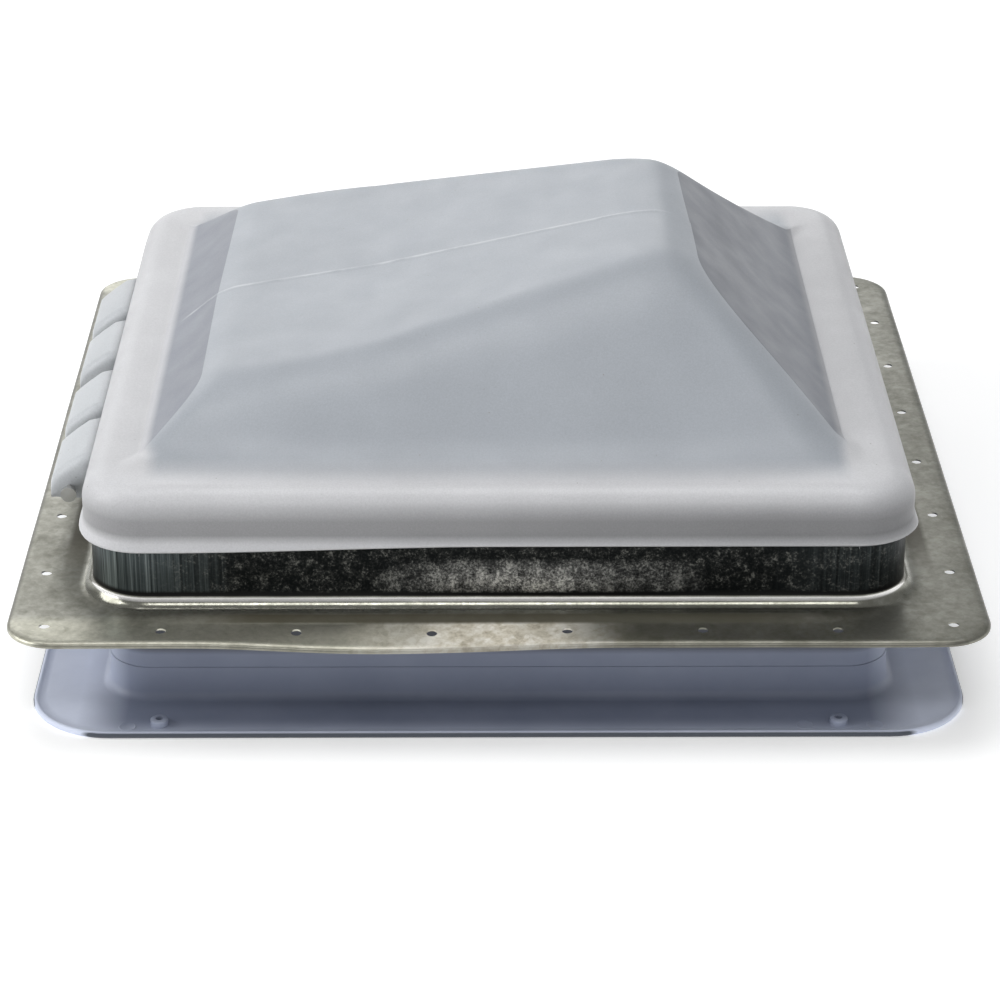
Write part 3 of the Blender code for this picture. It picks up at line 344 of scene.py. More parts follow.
def galvanised(name):
    """Weathered zinc: an olive-grey flange with a painted pool of light at its middle, painted
    brown shade round the neck, and a dark neck of painted shade with draw marks at its corners."""
    s = Surface(name, (0.3, 0.3, 0.25), 0.35, 0.92)
    tone = zinc_tone(s)
    side, depth, up = s.axis("X"), s.math("ABSOLUTE", s.axis("Y")), s.axis("Z")
    across = s.math("ABSOLUTE", side)
    dull = dull_zinc(s, tone)
    pale = s.ramp(tone, [(0.36, (0.34, 0.335, 0.27)), (0.60, (0.60, 0.59, 0.50))])
    # Paler along the front left, just out from the neck's foot.
    paler_front_left = s.math("MULTIPLY", s.range(side, 0.03, -0.05), s.range(depth, 0.188, 0.196))
    dull = s.blend(paler_front_left, dull, pale)
    # A painted pool of light: the middle of the flange, front and back, turns pale cream.
    pool_of_light_colours = s.ramp(tone, [(0.38, (0.36, 0.32, 0.24)), (0.47, (0.62, 0.57, 0.46)),
                          (0.58, (0.86, 0.83, 0.75))])
    ragged = s.math("MULTIPLY_ADD", s.noise(30.0, 4.0), 0.06, across)
    middle = s.range(ragged, 0.100, 0.040)
    white = s.math("MULTIPLY", middle, s.range(depth, 0.1935, 0.1955))
    flange = s.blend(white, dull, pool_of_light_colours)
    # Painted brown shade in the gully round the neck, a painted dark reflection right of the
    # middle, a painted highlight on the polished fillet, and the darker edge.
    reach = s.math("MAXIMUM", across, depth)
    # Painted shade: a dark brown band in the gully round the neck's foot.
    gully_shade = s.math("MULTIPLY", s.range(reach, 0.1868, 0.1882), s.range(reach, 0.1972, 0.1950))
    gully_shade = s.math("MULTIPLY", gully_shade, s.range(s.math("MINIMUM", across, depth), 0.150, 0.110))
    flange = s.blend(s.math("MULTIPLY", gully_shade, 0.90), flange, (0.070, 0.062, 0.036))
    # A painted dark reflection on the flange right of the middle.
    dark_reflection = s.math("MULTIPLY", s.range(side, 0.025, 0.055), s.range(side, 0.175, 0.125))
    dark_reflection = s.math("MULTIPLY", dark_reflection, s.range(s.noise(28.0, 4.0), 0.35, 0.60, 0.25, 0.70))
    dark_reflection = s.math("MULTIPLY", dark_reflection, s.range(depth, 0.176, 0.188))
    flange = s.blend(dark_reflection, flange, (0.085, 0.085, 0.060))
    # A painted highlight: a near-white line along the fillet.
    fillet_highlight = s.math("MULTIPLY", s.range(up, PLANE + 0.0031, PLANE + 0.0037),
                    s.range(up, PLANE + 0.0052, PLANE + 0.0047))
    flange = s.blend(fillet_highlight, flange, (0.92, 0.90, 0.87))
    edge = s.range(reach, 0.2125, 0.2140)
    flange = s.blend(s.math("MULTIPLY", edge, 0.6), flange, (0.13, 0.125, 0.105))

    # The neck: painted shade and dark reflection, near black, with a painted pool of light low
    # in its middle, and drawn lines at its ends.
    streak = s.noise(1.0, 4.0, 0.75, vector=s.stretched((900.0, 900.0, 8.0)))
    speckle = s.math("MULTIPLY", s.noise(850.0, 4.0, 0.8), 0.5)
    speckle = s.math("MULTIPLY_ADD", s.noise(160.0, 4.0, 0.75), 0.5, speckle)
    dark = s.ramp(speckle, [(0.46, (0.003, 0.004, 0.004)), (0.54, (0.016, 0.017, 0.016)),
                            (0.62, (0.11, 0.11, 0.10))])
    lit = s.ramp(speckle, [(0.40, (0.02, 0.02, 0.02)), (0.49, (0.15, 0.15, 0.145)),
                           (0.60, (0.68, 0.68, 0.64))])
    low = s.range(up, PLANE + 0.024, PLANE + 0.013)
    beside = s.math("ABSOLUTE", s.math("SUBTRACT", side, 0.022))
    # A painted pool of light low in the neck's middle.
    neck_light_pool = s.range(s.math("MULTIPLY_ADD", s.noise(30.0, 4.0), 0.06, beside), 0.100, 0.040)
    neck = s.blend(s.math("MULTIPLY", neck_light_pool, low), dark, lit)
    ends = s.range(across, 0.115, 0.165)
    brushed = s.ramp(streak, [(0.35, (0.010, 0.013, 0.014)), (0.55, (0.075, 0.090, 0.092)),
                              (0.75, (0.24, 0.27, 0.27))])
    # Painted light: the drawn lines are paler towards the left end.
    left = s.range(side, 0.02, -0.05, 0.25, 1.0)
    neck = s.blend(s.math("MULTIPLY", ends, left), neck, brushed)
    neck = s.blend(s.range(up, PLANE + 0.0085, PLANE + 0.0070), neck, (0.010, 0.010, 0.010))
    on_neck = s.range(up, PLANE + 0.0050, PLANE + 0.0058)
    s.colour(s.blend(on_neck, flange, neck))
    dry = s.range(tone, 0.35, 0.65, 0.42, 0.30)
    sheen = s.math("MULTIPLY", s.range(up, PLANE + 0.0002, PLANE + 0.0010),
                  s.range(up, PLANE + 0.0062, PLANE + 0.0050))
    s.roughness(s.math("MULTIPLY_ADD", sheen, -0.18, dry))
    # Less metallic where the pool of light and the gully shade are painted.
    matte_painted_marks = s.math("MAXIMUM", s.math("MULTIPLY", white, 0.85), s.math("MULTIPLY", gully_shade, 0.7))
    s.link(s.math("SUBTRACT", 0.92, matte_painted_marks), s.shader.inputs["Metallic"])
    marks = s.math("MULTIPLY", streak, on_neck)
    s.bump([(tone, 0.00010), (marks, 0.00005), (s.noise(11.0, 2.0), 0.0010)])
    return s.material


def galvanised_inside(name):
    """The sheet's sheltered side: dull even zinc."""
    s = Surface(name, (0.3, 0.3, 0.25), 0.4, 0.9)
    tone = zinc_tone(s)
    s.colour(dull_zinc(s, tone))
    s.roughness(s.range(tone, 0.35, 0.65, 0.48, 0.34))
    s.bump([(tone, 0.00010), (s.noise(11.0, 2.0), 0.0010)])
    return s.material


def moulded(name, colour, roughness, subsurface=0.0):
    """A moulded plastic with faint clouding and a fine texture."""
    s = Surface(name, colour, roughness, Specular_IOR_Level=0.4)
    if subsurface:
        s.set("Subsurface Weight", subsurface)
        s.set("Subsurface Radius", (1.0, 1.0, 1.0))
        s.set("Subsurface Scale", 0.002)
    pale = tuple(min(c * 1.06, 1.0) for c in colour)
    deep = tuple(c * 0.90 for c in colour)
    s.colour(s.ramp(s.noise(30.0, 4.0, 0.6), [(0.3, deep), (0.7, pale)]))
    s.roughness(s.range(s.noise(45.0, 3.0), 0.3, 0.7, roughness - 0.06, roughness + 0.06))
    s.bump([(s.noise(1100.0, 2.0), 0.00001), (s.noise(18.0, 1.0), 0.0004)])
    return s.material


def trim_plastic(name):
    """Thin blue-grey plastic: deep with painted shade under the flange, pale with painted light
    at its two ends.
    """
    s = Surface(name, (0.3, 0.3, 0.4), 0.40, Specular_IOR_Level=0.4)
    cloud = s.noise(30.0, 4.0, 0.6)
    # The deep and wall greys are painted shade under the flange; pale is painted light.
    deep = s.ramp(cloud, [(0.3, (0.185, 0.210, 0.290)), (0.7, (0.215, 0.240, 0.325))])
    pale = s.ramp(cloud, [(0.3, (0.66, 0.71, 0.86)), (0.7, (0.74, 0.79, 0.94))])
    wall = s.ramp(cloud, [(0.3, (0.215, 0.243, 0.33)), (0.7, (0.245, 0.275, 0.365))])
    body = s.blend(s.range(s.axis("Z"), 0.003, 0.007), deep, wall)
    # Painted shade: near black high on the collar, under the flange.
    body = s.blend(s.range(s.axis("Z"), 0.0235, 0.0275), body, (0.06, 0.065, 0.08))
    # Paler towards the edge, a painted highlight, and at the two ends, painted light, and a
    # painted shadow under the rolled edge.
    across = s.math("ABSOLUTE", s.axis("X"))
    reach = s.math("MAXIMUM", across, s.math("ABSOLUTE", s.axis("Y")))
    # A painted highlight towards the rolled edge.
    lip = s.range(reach, TRIM_HALF - 0.016, TRIM_HALF - 0.001)
    body = s.blend(s.math("MULTIPLY", s.math("POWER", lip, 2.0), 0.75), body, pale)
    body = s.blend(s.range(across, 0.165, 0.187), body, pale)
    # A painted shadow under the rolled edge.
    under = s.math("MULTIPLY", s.range(reach, TRIM_HALF - 0.0022, TRIM_HALF - 0.0012),
                   s.range(s.axis("Z"), 0.0029, 0.0024))
    s.colour(s.blend(under, body, (0.07, 0.08, 0.10)))
    s.roughness(s.range(s.noise(45.0, 3.0), 0.3, 0.7, 0.34, 0.46))
    s.bump([(s.noise(1100.0, 2.0), 0.00001), (s.noise(18.0, 1.0), 0.0004)])
    return s.material


def plated(name, colour):
    """Zinc-plated steel with fine rolling marks and dull patches."""
    s = Surface(name, colour, 0.30, 1.0)
    patches = s.noise(70.0, 4.0, 0.6)
    lines = s.noise(1.0, 2.0, vector=s.stretched((1400.0, 90.0, 1400.0)))
    deep = tuple(c * 0.72 for c in colour)
    s.colour(s.ramp(patches, [(0.3, deep), (0.7, colour)]))
    s.roughness(s.math("MULTIPLY_ADD", lines, 0.12, s.range(patches, 0.3, 0.7, 0.34, 0.20)))
    s.bump([(lines, 0.00001), (patches, 0.00005)])
    return s.material


def cast_metal(name):
    """Die-cast zinc: even grey with a fine grain."""
    s = Surface(name, (0.40, 0.40, 0.41), 0.5, 1.0)
    grain = s.noise(900.0, 3.0)
    s.colour(s.ramp(s.noise(120.0, 4.0), [(0.3, (0.28, 0.28, 0.29)), (0.7, (0.46, 0.46, 0.47))]))
    s.roughness(s.range(grain, 0.3, 0.7, 0.42, 0.62))
    s.bump([(grain, 0.00006)])
    return s.material


def soft_black(name, colour, roughness, cell_scale):
    """Black foam or rubber with small pores."""
    s = Surface(name, colour, roughness, Specular_IOR_Level=0.3)
    pores = s.cells(cell_scale, "Distance")
    pale = tuple(c * 1.8 for c in colour)
    s.colour(s.ramp(pores, [(0.1, colour), (0.8, pale)]))
    s.roughness(s.range(s.noise(200.0), 0.3, 0.7, roughness - 0.08, min(roughness + 0.05, 1.0)))
    s.bump([(pores, 0.00015)])
    return s.material


LID_MATERIAL = lid_plastic("lid_plastic_look", (0.40, 0.425, 0.46), (0.60, 0.60, 0.615))
FACET_MATERIAL = lid_plastic("lid_facet_look", (0.262, 0.277, 0.316), (0.56, 0.56, 0.58), 0.80)
HOOD_MATERIAL = lid_plastic("hood_look", (0.53, 0.55, 0.57), (0.53, 0.55, 0.57), skirt=False)
ZINC_SHEET = galvanised("galvanised_look")
ZINC_INSIDE = galvanised_inside("galvanised_inside_look")
TRIM_MATERIAL = trim_plastic("trim_plastic_look")
FRAME_MATERIAL = moulded("frame_plastic_look", (0.30, 0.32, 0.40), 0.42)
KNOB_MATERIAL = moulded("knob_plastic_look", (0.58, 0.60, 0.64), 0.38)
NYLON_MATERIAL = moulded("nylon_look", (0.74, 0.73, 0.66), 0.45, subsurface=0.1)
PLATED = plated("plated_steel_look", (0.62, 0.62, 0.60))
CAST = cast_metal("cast_zinc_look")
FOAM = soft_black("foam_look", (0.018, 0.018, 0.019), 0.92, 1400.0)
RUBBER = soft_black("rubber_look", (0.022, 0.022, 0.024), 0.62, 2600.0)
WIRE = moulded("screen_wire_look", (0.16, 0.165, 0.17), 0.45)


# ---- the lid's shape ----------------------------------------------------------------------
RIM_HALF = LIP_HALF - 2.0 * MM
RIM_UP = 56.0 * MM            # the rim's top, like every height here, is above the flange
RIM_BEND = 12.0 * MM          # radius of the bend from the rim's top into the skirt
LID_CORNER = 27.0 * MM        # the skirt's corner radius
CORNER_WEAR = 1.6 * MM        # how far the back left corner is drawn in
LIP_SAG = -1.3 * MM           # the front lip at its left end, and over the rest of its length
LIP_LIFT = 1.6 * MM
LID_WALL = 1.4 * MM
FOOT_UP = 55.5 * MM           # where the dome meets the rim's top
FOOT_FRONT = (151.0 * MM, 149.0 * MM)     # half width at the foot, left end and right end
FOOT_BACK = (145.0 * MM, 140.0 * MM)
FOOT_ROUND = 10.0 * MM        # how softly the long sides run out onto the rim
TIPS_FRONT = (146.0 * MM, 126.0 * MM)     # where the end facets' feet stop
TIPS_BACK = (142.0 * MM, 136.0 * MM)
DOME_LEFT = -160.0 * MM       # the feet of the two end facets
DOME_RIGHT = 155.0 * MM
LEFT_SLOPE = 0.78
RIGHT_SLOPE = 0.904
BACK_RISE = (0.015, 0.020)    # how the top's back half rises from the crease, left and right
BEAD_UP = 0.35 * MM           # the raised line along the crease
BEAD_HALF = 1.1 * MM
SHOULDER_BACK = 6.0 * MM      # how softly the top turns into the long sides
SHOULDER_FRONT = (11.0 * MM, 24.0 * MM)
SHOULDER_MOST = 115.0 * MM    # half the top's width at its left, in the middle, and its taper
SHOULDER_MIDDLE = 94.6 * MM
SHOULDER_TAPER = 0.28
KINK_X, KINK_UP = -58.4 * MM, 90.5 * MM       # where the crease starts to climb faster
GENTLE_CLIMB, STEEP_CLIMB = 0.165, 0.2215
NOSE_X, NOSE_UP = 77.7 * MM, 118.4 * MM
NOSE_FALL = 0.05
NOSE_ROUND = 4.0 * MM
LEFT_PAST = 0.8 * MM          # the body runs past each facet by this, so its edge stays crisp
RIGHT_PAST = 1.0 * MM


def crease_height(x):
    """The crease along the dome's middle: a gentle rise, a steeper one, and the blunt nose."""
    gentle = KINK_UP + GENTLE_CLIMB * (x - KINK_X)
    steep = KINK_UP + STEEP_CLIMB * (x - KINK_X)
    nose = NOSE_UP - NOSE_FALL * (x - NOSE_X)
    return smooth_min(max(gentle, steep), nose, NOSE_ROUND)


def left_facet(x):
    """The flat facet that closes the dome's left end; the right one is like it."""
    return FOOT_UP + LEFT_SLOPE * (x - DOME_LEFT)


def right_facet(x):
    return FOOT_UP + RIGHT_SLOPE * (DOME_RIGHT - x)


def shoulder_half(x):
    """Half the width of the dome's top, which narrows towards the nose."""
    return smooth_min(SHOULDER_MOST, SHOULDER_MIDDLE - SHOULDER_TAPER * x, 8.0 * MM)


def span(x):
    """0 at the dome's left foot and 1 at its right foot."""
    return min(max((x - DOME_LEFT) / (DOME_RIGHT - DOME_LEFT), 0.0), 1.0)


def right_round(x, y):
    """How softly the body runs into the right facet: softest low down at the front."""
    top = mix(12.0, 10.0, ease((y + 50 * MM) / (100 * MM)))
    foot = 19.0 if y < 0 else 6.0
    return mix(top, foot, ease((x - 85 * MM) / (70 * MM))) * MM


def left_round(x, y):
    """How softly the body runs into the left facet."""
    foot = 9.0 if y < 0 else 5.0
    return mix(6.0, foot, ease((-130 * MM - x) / (29 * MM))) * MM


def soft_body(x, y):
    """The dome before its two end facets are cut: top planes, long sides and round ends."""
    share = span(x)
    half = shoulder_half(x)
    if y < 0:
        foot = mix(*FOOT_FRONT, share)
        rise, rounding = 0.0, mix(*SHOULDER_FRONT, share)
    else:
        foot = mix(*FOOT_BACK, share)
        rise, rounding = mix(*BACK_RISE, share), SHOULDER_BACK
    edge = crease_height(x) + rise * half
    top = crease_height(x) + rise * abs(y)
    side = edge + (FOOT_UP - edge) * (abs(y) - half) / (foot - half)
    body = smooth_min(top, side, rounding)
    body = smooth_min(body, right_facet(x) + RIGHT_PAST, right_round(x, y))
    return smooth_min(body, left_facet(x) + LEFT_PAST, left_round(x, y))


def dome(x, y):
    """The dome with its two end facets cut flat."""
    return min(soft_body(x, y), left_facet(x), right_facet(x))


def solve(function, low, high, steps=22):
    """The place between low and high where the function changes sign."""
    sign = function(low) > 0
    for _ in range(steps):
        middle = (low + high) / 2
        if (function(middle) > 0) == sign:
            low = middle
        else:
            high = middle
    return (low + high) / 2


def foot_half(x, side):
    """Half the dome's width at its foot, which narrows round the corners."""
    return solve(lambda y: soft_body(x, side * y) - FOOT_UP, 60 * MM, FOOT_FRONT[0] + 4 * MM)


def across(x, share, side):
    """Where a long line of the mesh runs: 0 is the crease, 0.5 the shoulder, 1 the foot."""
    if share <= 0.5:
        return side * shoulder_half(x) * share / 0.5
    return side * mix(shoulder_half(x), foot_half(x, side), (share - 0.5) / 0.5)


def rim_top(x, y):
    """A slight crown on the rim between the dome's foot and the outer bend."""
    inset = min(RIM_HALF - abs(x), RIM_HALF - abs(y))
    return FOOT_UP + (RIM_UP - FOOT_UP) * ease((27 * MM - inset) / (14 * MM))


def lid_height(x, y):
    """The outside's height: crisp at the facets' feet, and soft along the front and back."""
    tip = (TIPS_FRONT if y < 0 else TIPS_BACK)[x > 0]
    end = abs(x - (DOME_LEFT + DOME_RIGHT) / 2) - (DOME_RIGHT - DOME_LEFT) / 2
    crisp = ease((tip + 8 * MM - abs(y)) / (18 * MM)) * ease(1 + (end + 6 * MM) / (24 * MM))
    height = smooth_max(dome(x, y), rim_top(x, y), mix(FOOT_ROUND, 0.4 * MM, crisp))
    nose = 1 - ease((x - 66 * MM) / (22 * MM))
    bead = BEAD_UP * nose * math.exp(-(y / BEAD_HALF) ** 2)
    return PLANE + height + bead * ease((height - FOOT_UP - 6 * MM) / (6 * MM))


# The mesh's long lines, from the crease to the foot: close at the bead and the shoulder.
SHARES = [0.0, 0.002, 0.004, 0.007, 0.011]
SHARES += [k / 26 * 0.42 for k in range(1, 26)]
SHARES += [0.42 + 0.18 * k / 16 for k in range(16)]
SHARES += [0.60 + 0.40 * k / 22 for k in range(23)]
LEFT_STEPS, MIDDLE_STEPS, RIGHT_STEPS = 6, 96, 12       # left facet, body, right facet
CORNER_STEPS = 12
# Rows from the dome's foot out to the bend.
RIM_SHARES = (0.04, 0.09, 0.15, 0.23, 0.34, 0.48, 0.64, 0.82, 1.0)
# Down the skirt to the flared lip: millimetres out from the skirt, and up from the flange.
LIP_FLARE = ((-0.1, 40.0), (-0.1, 37.0), (0.1, 35.6), (0.5, 34.2), (1.1, 32.9), (1.7, 32.0),
             (2.0, 31.4), (2.05, 30.8), (1.8, 30.3), (1.3, 30.0))


def long_line(share, side):
    """The points of one long line from the left foot to the right foot."""
    def over(facet):
        return lambda x: soft_body(x, across(x, share, side)) - facet(x)

    first, last = DOME_LEFT, DOME_RIGHT
    if share < 1:
        first = solve(over(left_facet), DOME_LEFT, -112 * MM)
        last = solve(over(right_facet), DOME_RIGHT, 66 * MM)
    stations = [mix(DOME_LEFT, first, k / LEFT_STEPS) for k in range(LEFT_STEPS)]
    stations += [mix(first, last, k / MIDDLE_STEPS) for k in range(MIDDLE_STEPS)]
    stations += [mix(last, DOME_RIGHT, k / RIGHT_STEPS) for k in range(RIGHT_STEPS + 1)]
    points = []
    for x in stations:
        y = across(x, share, side)
        points.append(Vector((x, y, lid_height(x, y))))
    return points


def worn_corner(flat):
    """The back left corner of the rim is rounder than the others."""
    near = ease(1 - (flat - Vector((-RIM_HALF, RIM_HALF))).length / (46 * MM))
    return flat + Vector((1, -1)).normalized() * CORNER_WEAR * near


def lip_wave(x, y):
    """The front lip sags a little at its left and lifts over the rest of its length."""
    lift = mix(LIP_SAG, LIP_LIFT, ease((x + 150 * MM) / (150 * MM)))
    return lift * ease((-y - 150 * MM) / (25 * MM))


def lid_outside(bm):
    """The dome's grid, the rim round it, the bend, the skirt and the bead at its lip."""
    lines = [long_line(share, -1) for share in reversed(SHARES)]
    lines += [long_line(share, 1) for share in SHARES[1:]]
    grid = [[bm.verts.new(p) for p in line] for line in lines]
    for a, b in zip(grid, grid[1:]):
        for i in range(len(a) - 1):
            face = bm.faces.new((a[i], a[i + 1], b[i + 1], b[i]))
            facet = i < LEFT_STEPS or i >= LEFT_STEPS + MIDDLE_STEPS
            face.material_index = 1 if facet else 0
    front, back = grid[0], grid[-1][::-1]
    right = [line[-1] for line in grid]
    left = [line[0] for line in grid][::-1]
    foot, rim = [], []
    straight = RIM_HALF - LID_CORNER
    inner = LID_CORNER - RIM_BEND
    sides = ((front, (0, -1)), (right, (1, 0)), (back, (0, 1)), (left, (-1, 0)))
    for (side, out), (_next, turn) in zip(sides, sides[1:] + sides[:1]):
        along = (-out[1], out[0])
        reach = [p.co.x * along[0] + p.co.y * along[1] for p in side]
        for vert, place in zip(side, reach):
            share = (place - reach[0]) / (reach[-1] - reach[0]) * 2 - 1
            foot.append(vert)
            rim.append((Vector((out[0] * straight + along[0] * straight * share,
                                out[1] * straight + along[1] * straight * share)),
                        Vector(out)))
        corner = Vector((straight * (out[0] + turn[0]), straight * (out[1] + turn[1])))
        for k in range(1, CORNER_STEPS):
            a = math.pi / 2 * k / CORNER_STEPS
            outward = Vector(out) * math.cos(a) + Vector(turn) * math.sin(a)
            foot.append(side[-1])
            rim.append((corner, outward))
    loops = [foot]
    for share in RIM_SHARES:
        row = []
        for vert, (spot, outward) in zip(foot, rim):
            end = spot + outward * inner
            flat = worn_corner(vert.co.xy.lerp(end, share))
            height = lid_height(flat.x, flat.y)
            row.append(bm.verts.new((flat.x, flat.y, mix(height, PLANE + RIM_UP, ease(share)))))
        loops.append(row)
    profile = [(inner + x, RIM_UP - RIM_BEND + z)
               for x, z in arc(0.0, 0.0, RIM_BEND, 90.0, 0.0, 12)[1:]]
    profile += [(LID_CORNER + out * MM, up * MM) for out, up in LIP_FLARE]
    for reach, height in profile:
        row = []
        for spot, outward in rim:
            flat = worn_corner(spot + outward * reach)
            wave = lip_wave(flat.x, flat.y) * ease((40 * MM - height) / (6 * MM))
            row.append(bm.verts.new((flat.x, flat.y, PLANE + height + wave)))
        loops.append(row)
    skin_between(bm, [loop[::-1] for loop in loops])


# ---- hinge hoods --------------------------------------------------------------------------
HOOD_MIDDLES = (-88.0 * MM, -31.5 * MM, 31.5 * MM, 88.0 * MM)
HOOD_HALF = 23.5 * MM
HOOD_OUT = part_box("lid")[0].x
HOOD_ROOT = -RIM_HALF - 0.2 * MM
HOOD_LOW = 20.0 * MM
HOOD_CORNER = 5.0 * MM
HOOD_PINCH = 0.10             # how much narrower a hood is at its outer end
HOOD_WALL = 1.6 * MM
# Share of the way out from the skirt, and the top's height in millimetres.
HOOD_STATIONS = ((0.0, 41.5), (0.3, 40.4), (0.6, 36.2), (0.85, 32.2), (0.95, 30.2),
                 (1.0, 27.0), (1.0, 20.0))


def hood(bm, middle):
    """A hollow shell over one hinge tab: its top falls outwards, and its corners are round."""
    rows = []
    for out, height in HOOD_STATIONS:
        x = HOOD_ROOT + (HOOD_OUT - HOOD_ROOT) * out
        half = HOOD_HALF * (1.0 - HOOD_PINCH * out)
        top = height * MM
        corner = min(HOOD_CORNER, max(top - HOOD_LOW, 0.2 * MM))
        outline = [(-half, HOOD_LOW)]
        outline += arc(corner - half, top - corner, corner, 180.0, 90.0, 6)
        outline += arc(half - corner, top - corner, corner, 90.0, 0.0, 6)
        outline.append((half, HOOD_LOW))
        rows.append([Vector((x, middle + y, PLANE + z)) for y, z in outline])
    skin(bm, rows, closed=False)


def make_lid():
    """The lid's moulding and its hoods, which together stand for the lid's node."""
    bm = bmesh.new()
    lid_outside(bm)
    lid = mesh_object("lid_moulding", bm, 28.0)
    wall = lid.modifiers.new("wall", "SOLIDIFY")
    wall.thickness = LID_WALL
    wall.offset = -1.0
    lid.data.materials.append(LID_MATERIAL)
    lid.data.materials.append(FACET_MATERIAL)
    bm = bmesh.new()
    for middle in HOOD_MIDDLES:
        hood(bm, middle)
    hoods = mesh_object("lid_hinge_hoods", bm, 50.0)
    wall = hoods.modifiers.new("wall", "SOLIDIFY")
    wall.thickness = HOOD_WALL
    wall.offset = -1.0
    hoods.data.materials.append(HOOD_MATERIAL)
    for piece in (lid, hoods):
        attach(piece, "lid_body")
        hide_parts("lid")


# ---- galvanised base ----------------------------------------------------------------------
DIP_X = -52 * MM              # the bend in the front edge: its middle, depth and two spreads
DIP_DEPTH = 2.8 * MM
DIP_LEFT, DIP_RIGHT = 78 * MM, 115 * MM
NECK_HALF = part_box("neck_gasket")[1].x + 4.5 * MM
NECK_CORNER = 26.0 * MM
NECK_FILLET = 7.0 * MM
NECK_BEND = 1.5 * MM          # where the neck's top turns inwards
NECK_RETURN = 11.0 * MM       # how far the turned-in strip reaches
HOLE_ROW = 203.2 * MM         # the screw holes' rows, their pitch, and the corner holes
HOLE_PITCH = 58.87 * MM
HOLE_CORNER = 198.1 * MM
HOLE_RADIUS = 2.4 * MM


def edge_wave(x):
    """The front edge is bent down a little, left of its middle."""
    spread = DIP_LEFT if x < DIP_X else DIP_RIGHT
    return -DIP_DEPTH * ease(1 - abs(x - DIP_X) / spread)


def hole_places():
    """One hole in each corner of the flange, and six along each side."""
    places = [(sx * HOLE_CORNER, sy * HOLE_CORNER) for sx in (-1, 1) for sy in (-1, 1)]
    for k in range(6):
        along = HOLE_PITCH * (k - 2.5)
        for side in (-HOLE_ROW, HOLE_ROW):
            places += [(along, side), (side, along)]
    return places


def base_rows():
    """(half width, corner radius, height above the flange) from the edge to the neck's lip."""
    profile = [(FLANGE_HALF, 22.0, -2.3), (FLANGE_HALF, 22.0, -1.5),
               (FLANGE_HALF - 0.4 * MM, 21.7, -0.85), (FLANGE_HALF - 1.2 * MM, 21.0, -0.35),
               (FLANGE_HALF - 2.4 * MM, 20.0, -0.08), (FLANGE_HALF - 4.0 * MM, 19.0, 0.0)]
    rows = [(half, radius * MM, z * MM) for half, radius, z in profile]
    fillet_foot = NECK_HALF + NECK_FILLET
    for half in (206.0, 200.0, 195.0, 191.5):
        share = (FLANGE_HALF - half * MM) / (FLANGE_HALF - NECK_HALF - NECK_FILLET)
        rows.append((half * MM, mix(19.0 * MM, NECK_CORNER + NECK_FILLET, share), 0.0))
    for x, z in arc(0.0, 0.0, NECK_FILLET, 90.0, 0.0, 8):
        rows.append((fillet_foot - x, NECK_CORNER + NECK_FILLET - x, NECK_FILLET - z))
    top = NECK_TOP - PLANE
    rows += [(NECK_HALF, NECK_CORNER, top * share) for share in (0.35, 0.55, 0.75)]
    rows += [(NECK_HALF - NECK_BEND + x, NECK_CORNER - NECK_BEND + x, top - NECK_BEND + z)
             for x, z in arc(0.0, 0.0, NECK_BEND, 0.0, 90.0, 4)]
    rows.append((NECK_HALF - NECK_RETURN, NECK_CORNER - NECK_RETURN, top))
    return rows


def make_base():
    """The sheet, bent and drawn, with its screw holes cut through."""
    loops = []
    for half, radius, z in base_rows():
        loop = square(half, radius, PLANE + z, 14, 60)
        for p in loop:
            outer = ease((max(abs(p.x), abs(p.y)) - 194 * MM) / (21 * MM))
            if p.y < -190 * MM:
                p.z += edge_wave(p.x) * outer
            p.z += noise.noise(p * 14.0) * 0.5 * MM * outer
            if z > 6.5 * MM:
                p.y += noise.noise(Vector((p.x * 9, p.y * 9, p.z * 9))) * 0.35 * MM
        loops.append(loop)
    bm = bmesh.new()
    skin(bm, loops)
    base = mesh_object("base_sheet", bm, 60.0)
    base.data.materials.append(ZINC_SHEET)
    base.data.materials.append(ZINC_INSIDE)
    wall = base.modifiers.new("wall", "SOLIDIFY")
    wall.thickness = SHEET
    wall.offset = -1.0
    wall.material_offset = 1
    tool = bmesh.new()
    for x, y in hole_places():
        bmesh.ops.create_cone(tool, cap_ends=True, segments=24, radius1=HOLE_RADIUS,
                              radius2=HOLE_RADIUS, depth=20 * MM,
                              matrix=Matrix.Translation((x, y, PLANE)))
    cut_out(base, mesh_object("hole_tool", tool))
    base.data.shade_smooth()
    base.data.set_sharp_from_angle(angle=math.radians(60.0))
    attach(base, "base")
    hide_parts("base_flange")


# ---- trim ring ----------------------------------------------------------------------------
COLLAR_HALF = 175.8 * MM      # the collar's outside at its foot, and at its top
COLLAR_TOP_HALF = 173.5 * MM
COLLAR_CORNER = 20.0 * MM
COLLAR_FILLET = 4.0 * MM
COLLAR_STEP = 17.6 * MM       # height of the fine step line round the collar
TAPER_START = 8 * MM          # the collar tapers from this height up
TRIM_FLOOR = 2.0 * MM         # thickness of the flat part
# The rolled outer edge: millimetres out from the ring's edge, and up.
ROLLED_EDGE = ((-1.6, 0.0), (-0.5, 0.25), (0.0, 1.0), (0.0, 1.9), (-0.4, 2.6), (-1.0, 3.0),
               (-1.7, 3.0), (-2.3, 2.6), (-2.9, 2.15))
BOSS = ((1.7, 2.2), (1.7, 5.0), (3.3, 5.0), (3.9, 4.6), (4.1, 1.6))     # radius and height, mm
MARK = ((0.0, 2.08), (3.3, 2.08), (3.6, 2.22), (3.9, 2.02))
BOSS_X, BOSS_Y = 150 * MM, 199 * MM
MARK_PLACES = ((-164, -201.5), (135, -201), (166, -201), (-135, 201), (164, 201), (-166, 201))


def collar_at(z):
    """Half the collar's width at a height."""
    return mix(COLLAR_HALF, COLLAR_TOP_HALF, (z - TAPER_START) / (TRIM_TOP - TAPER_START))


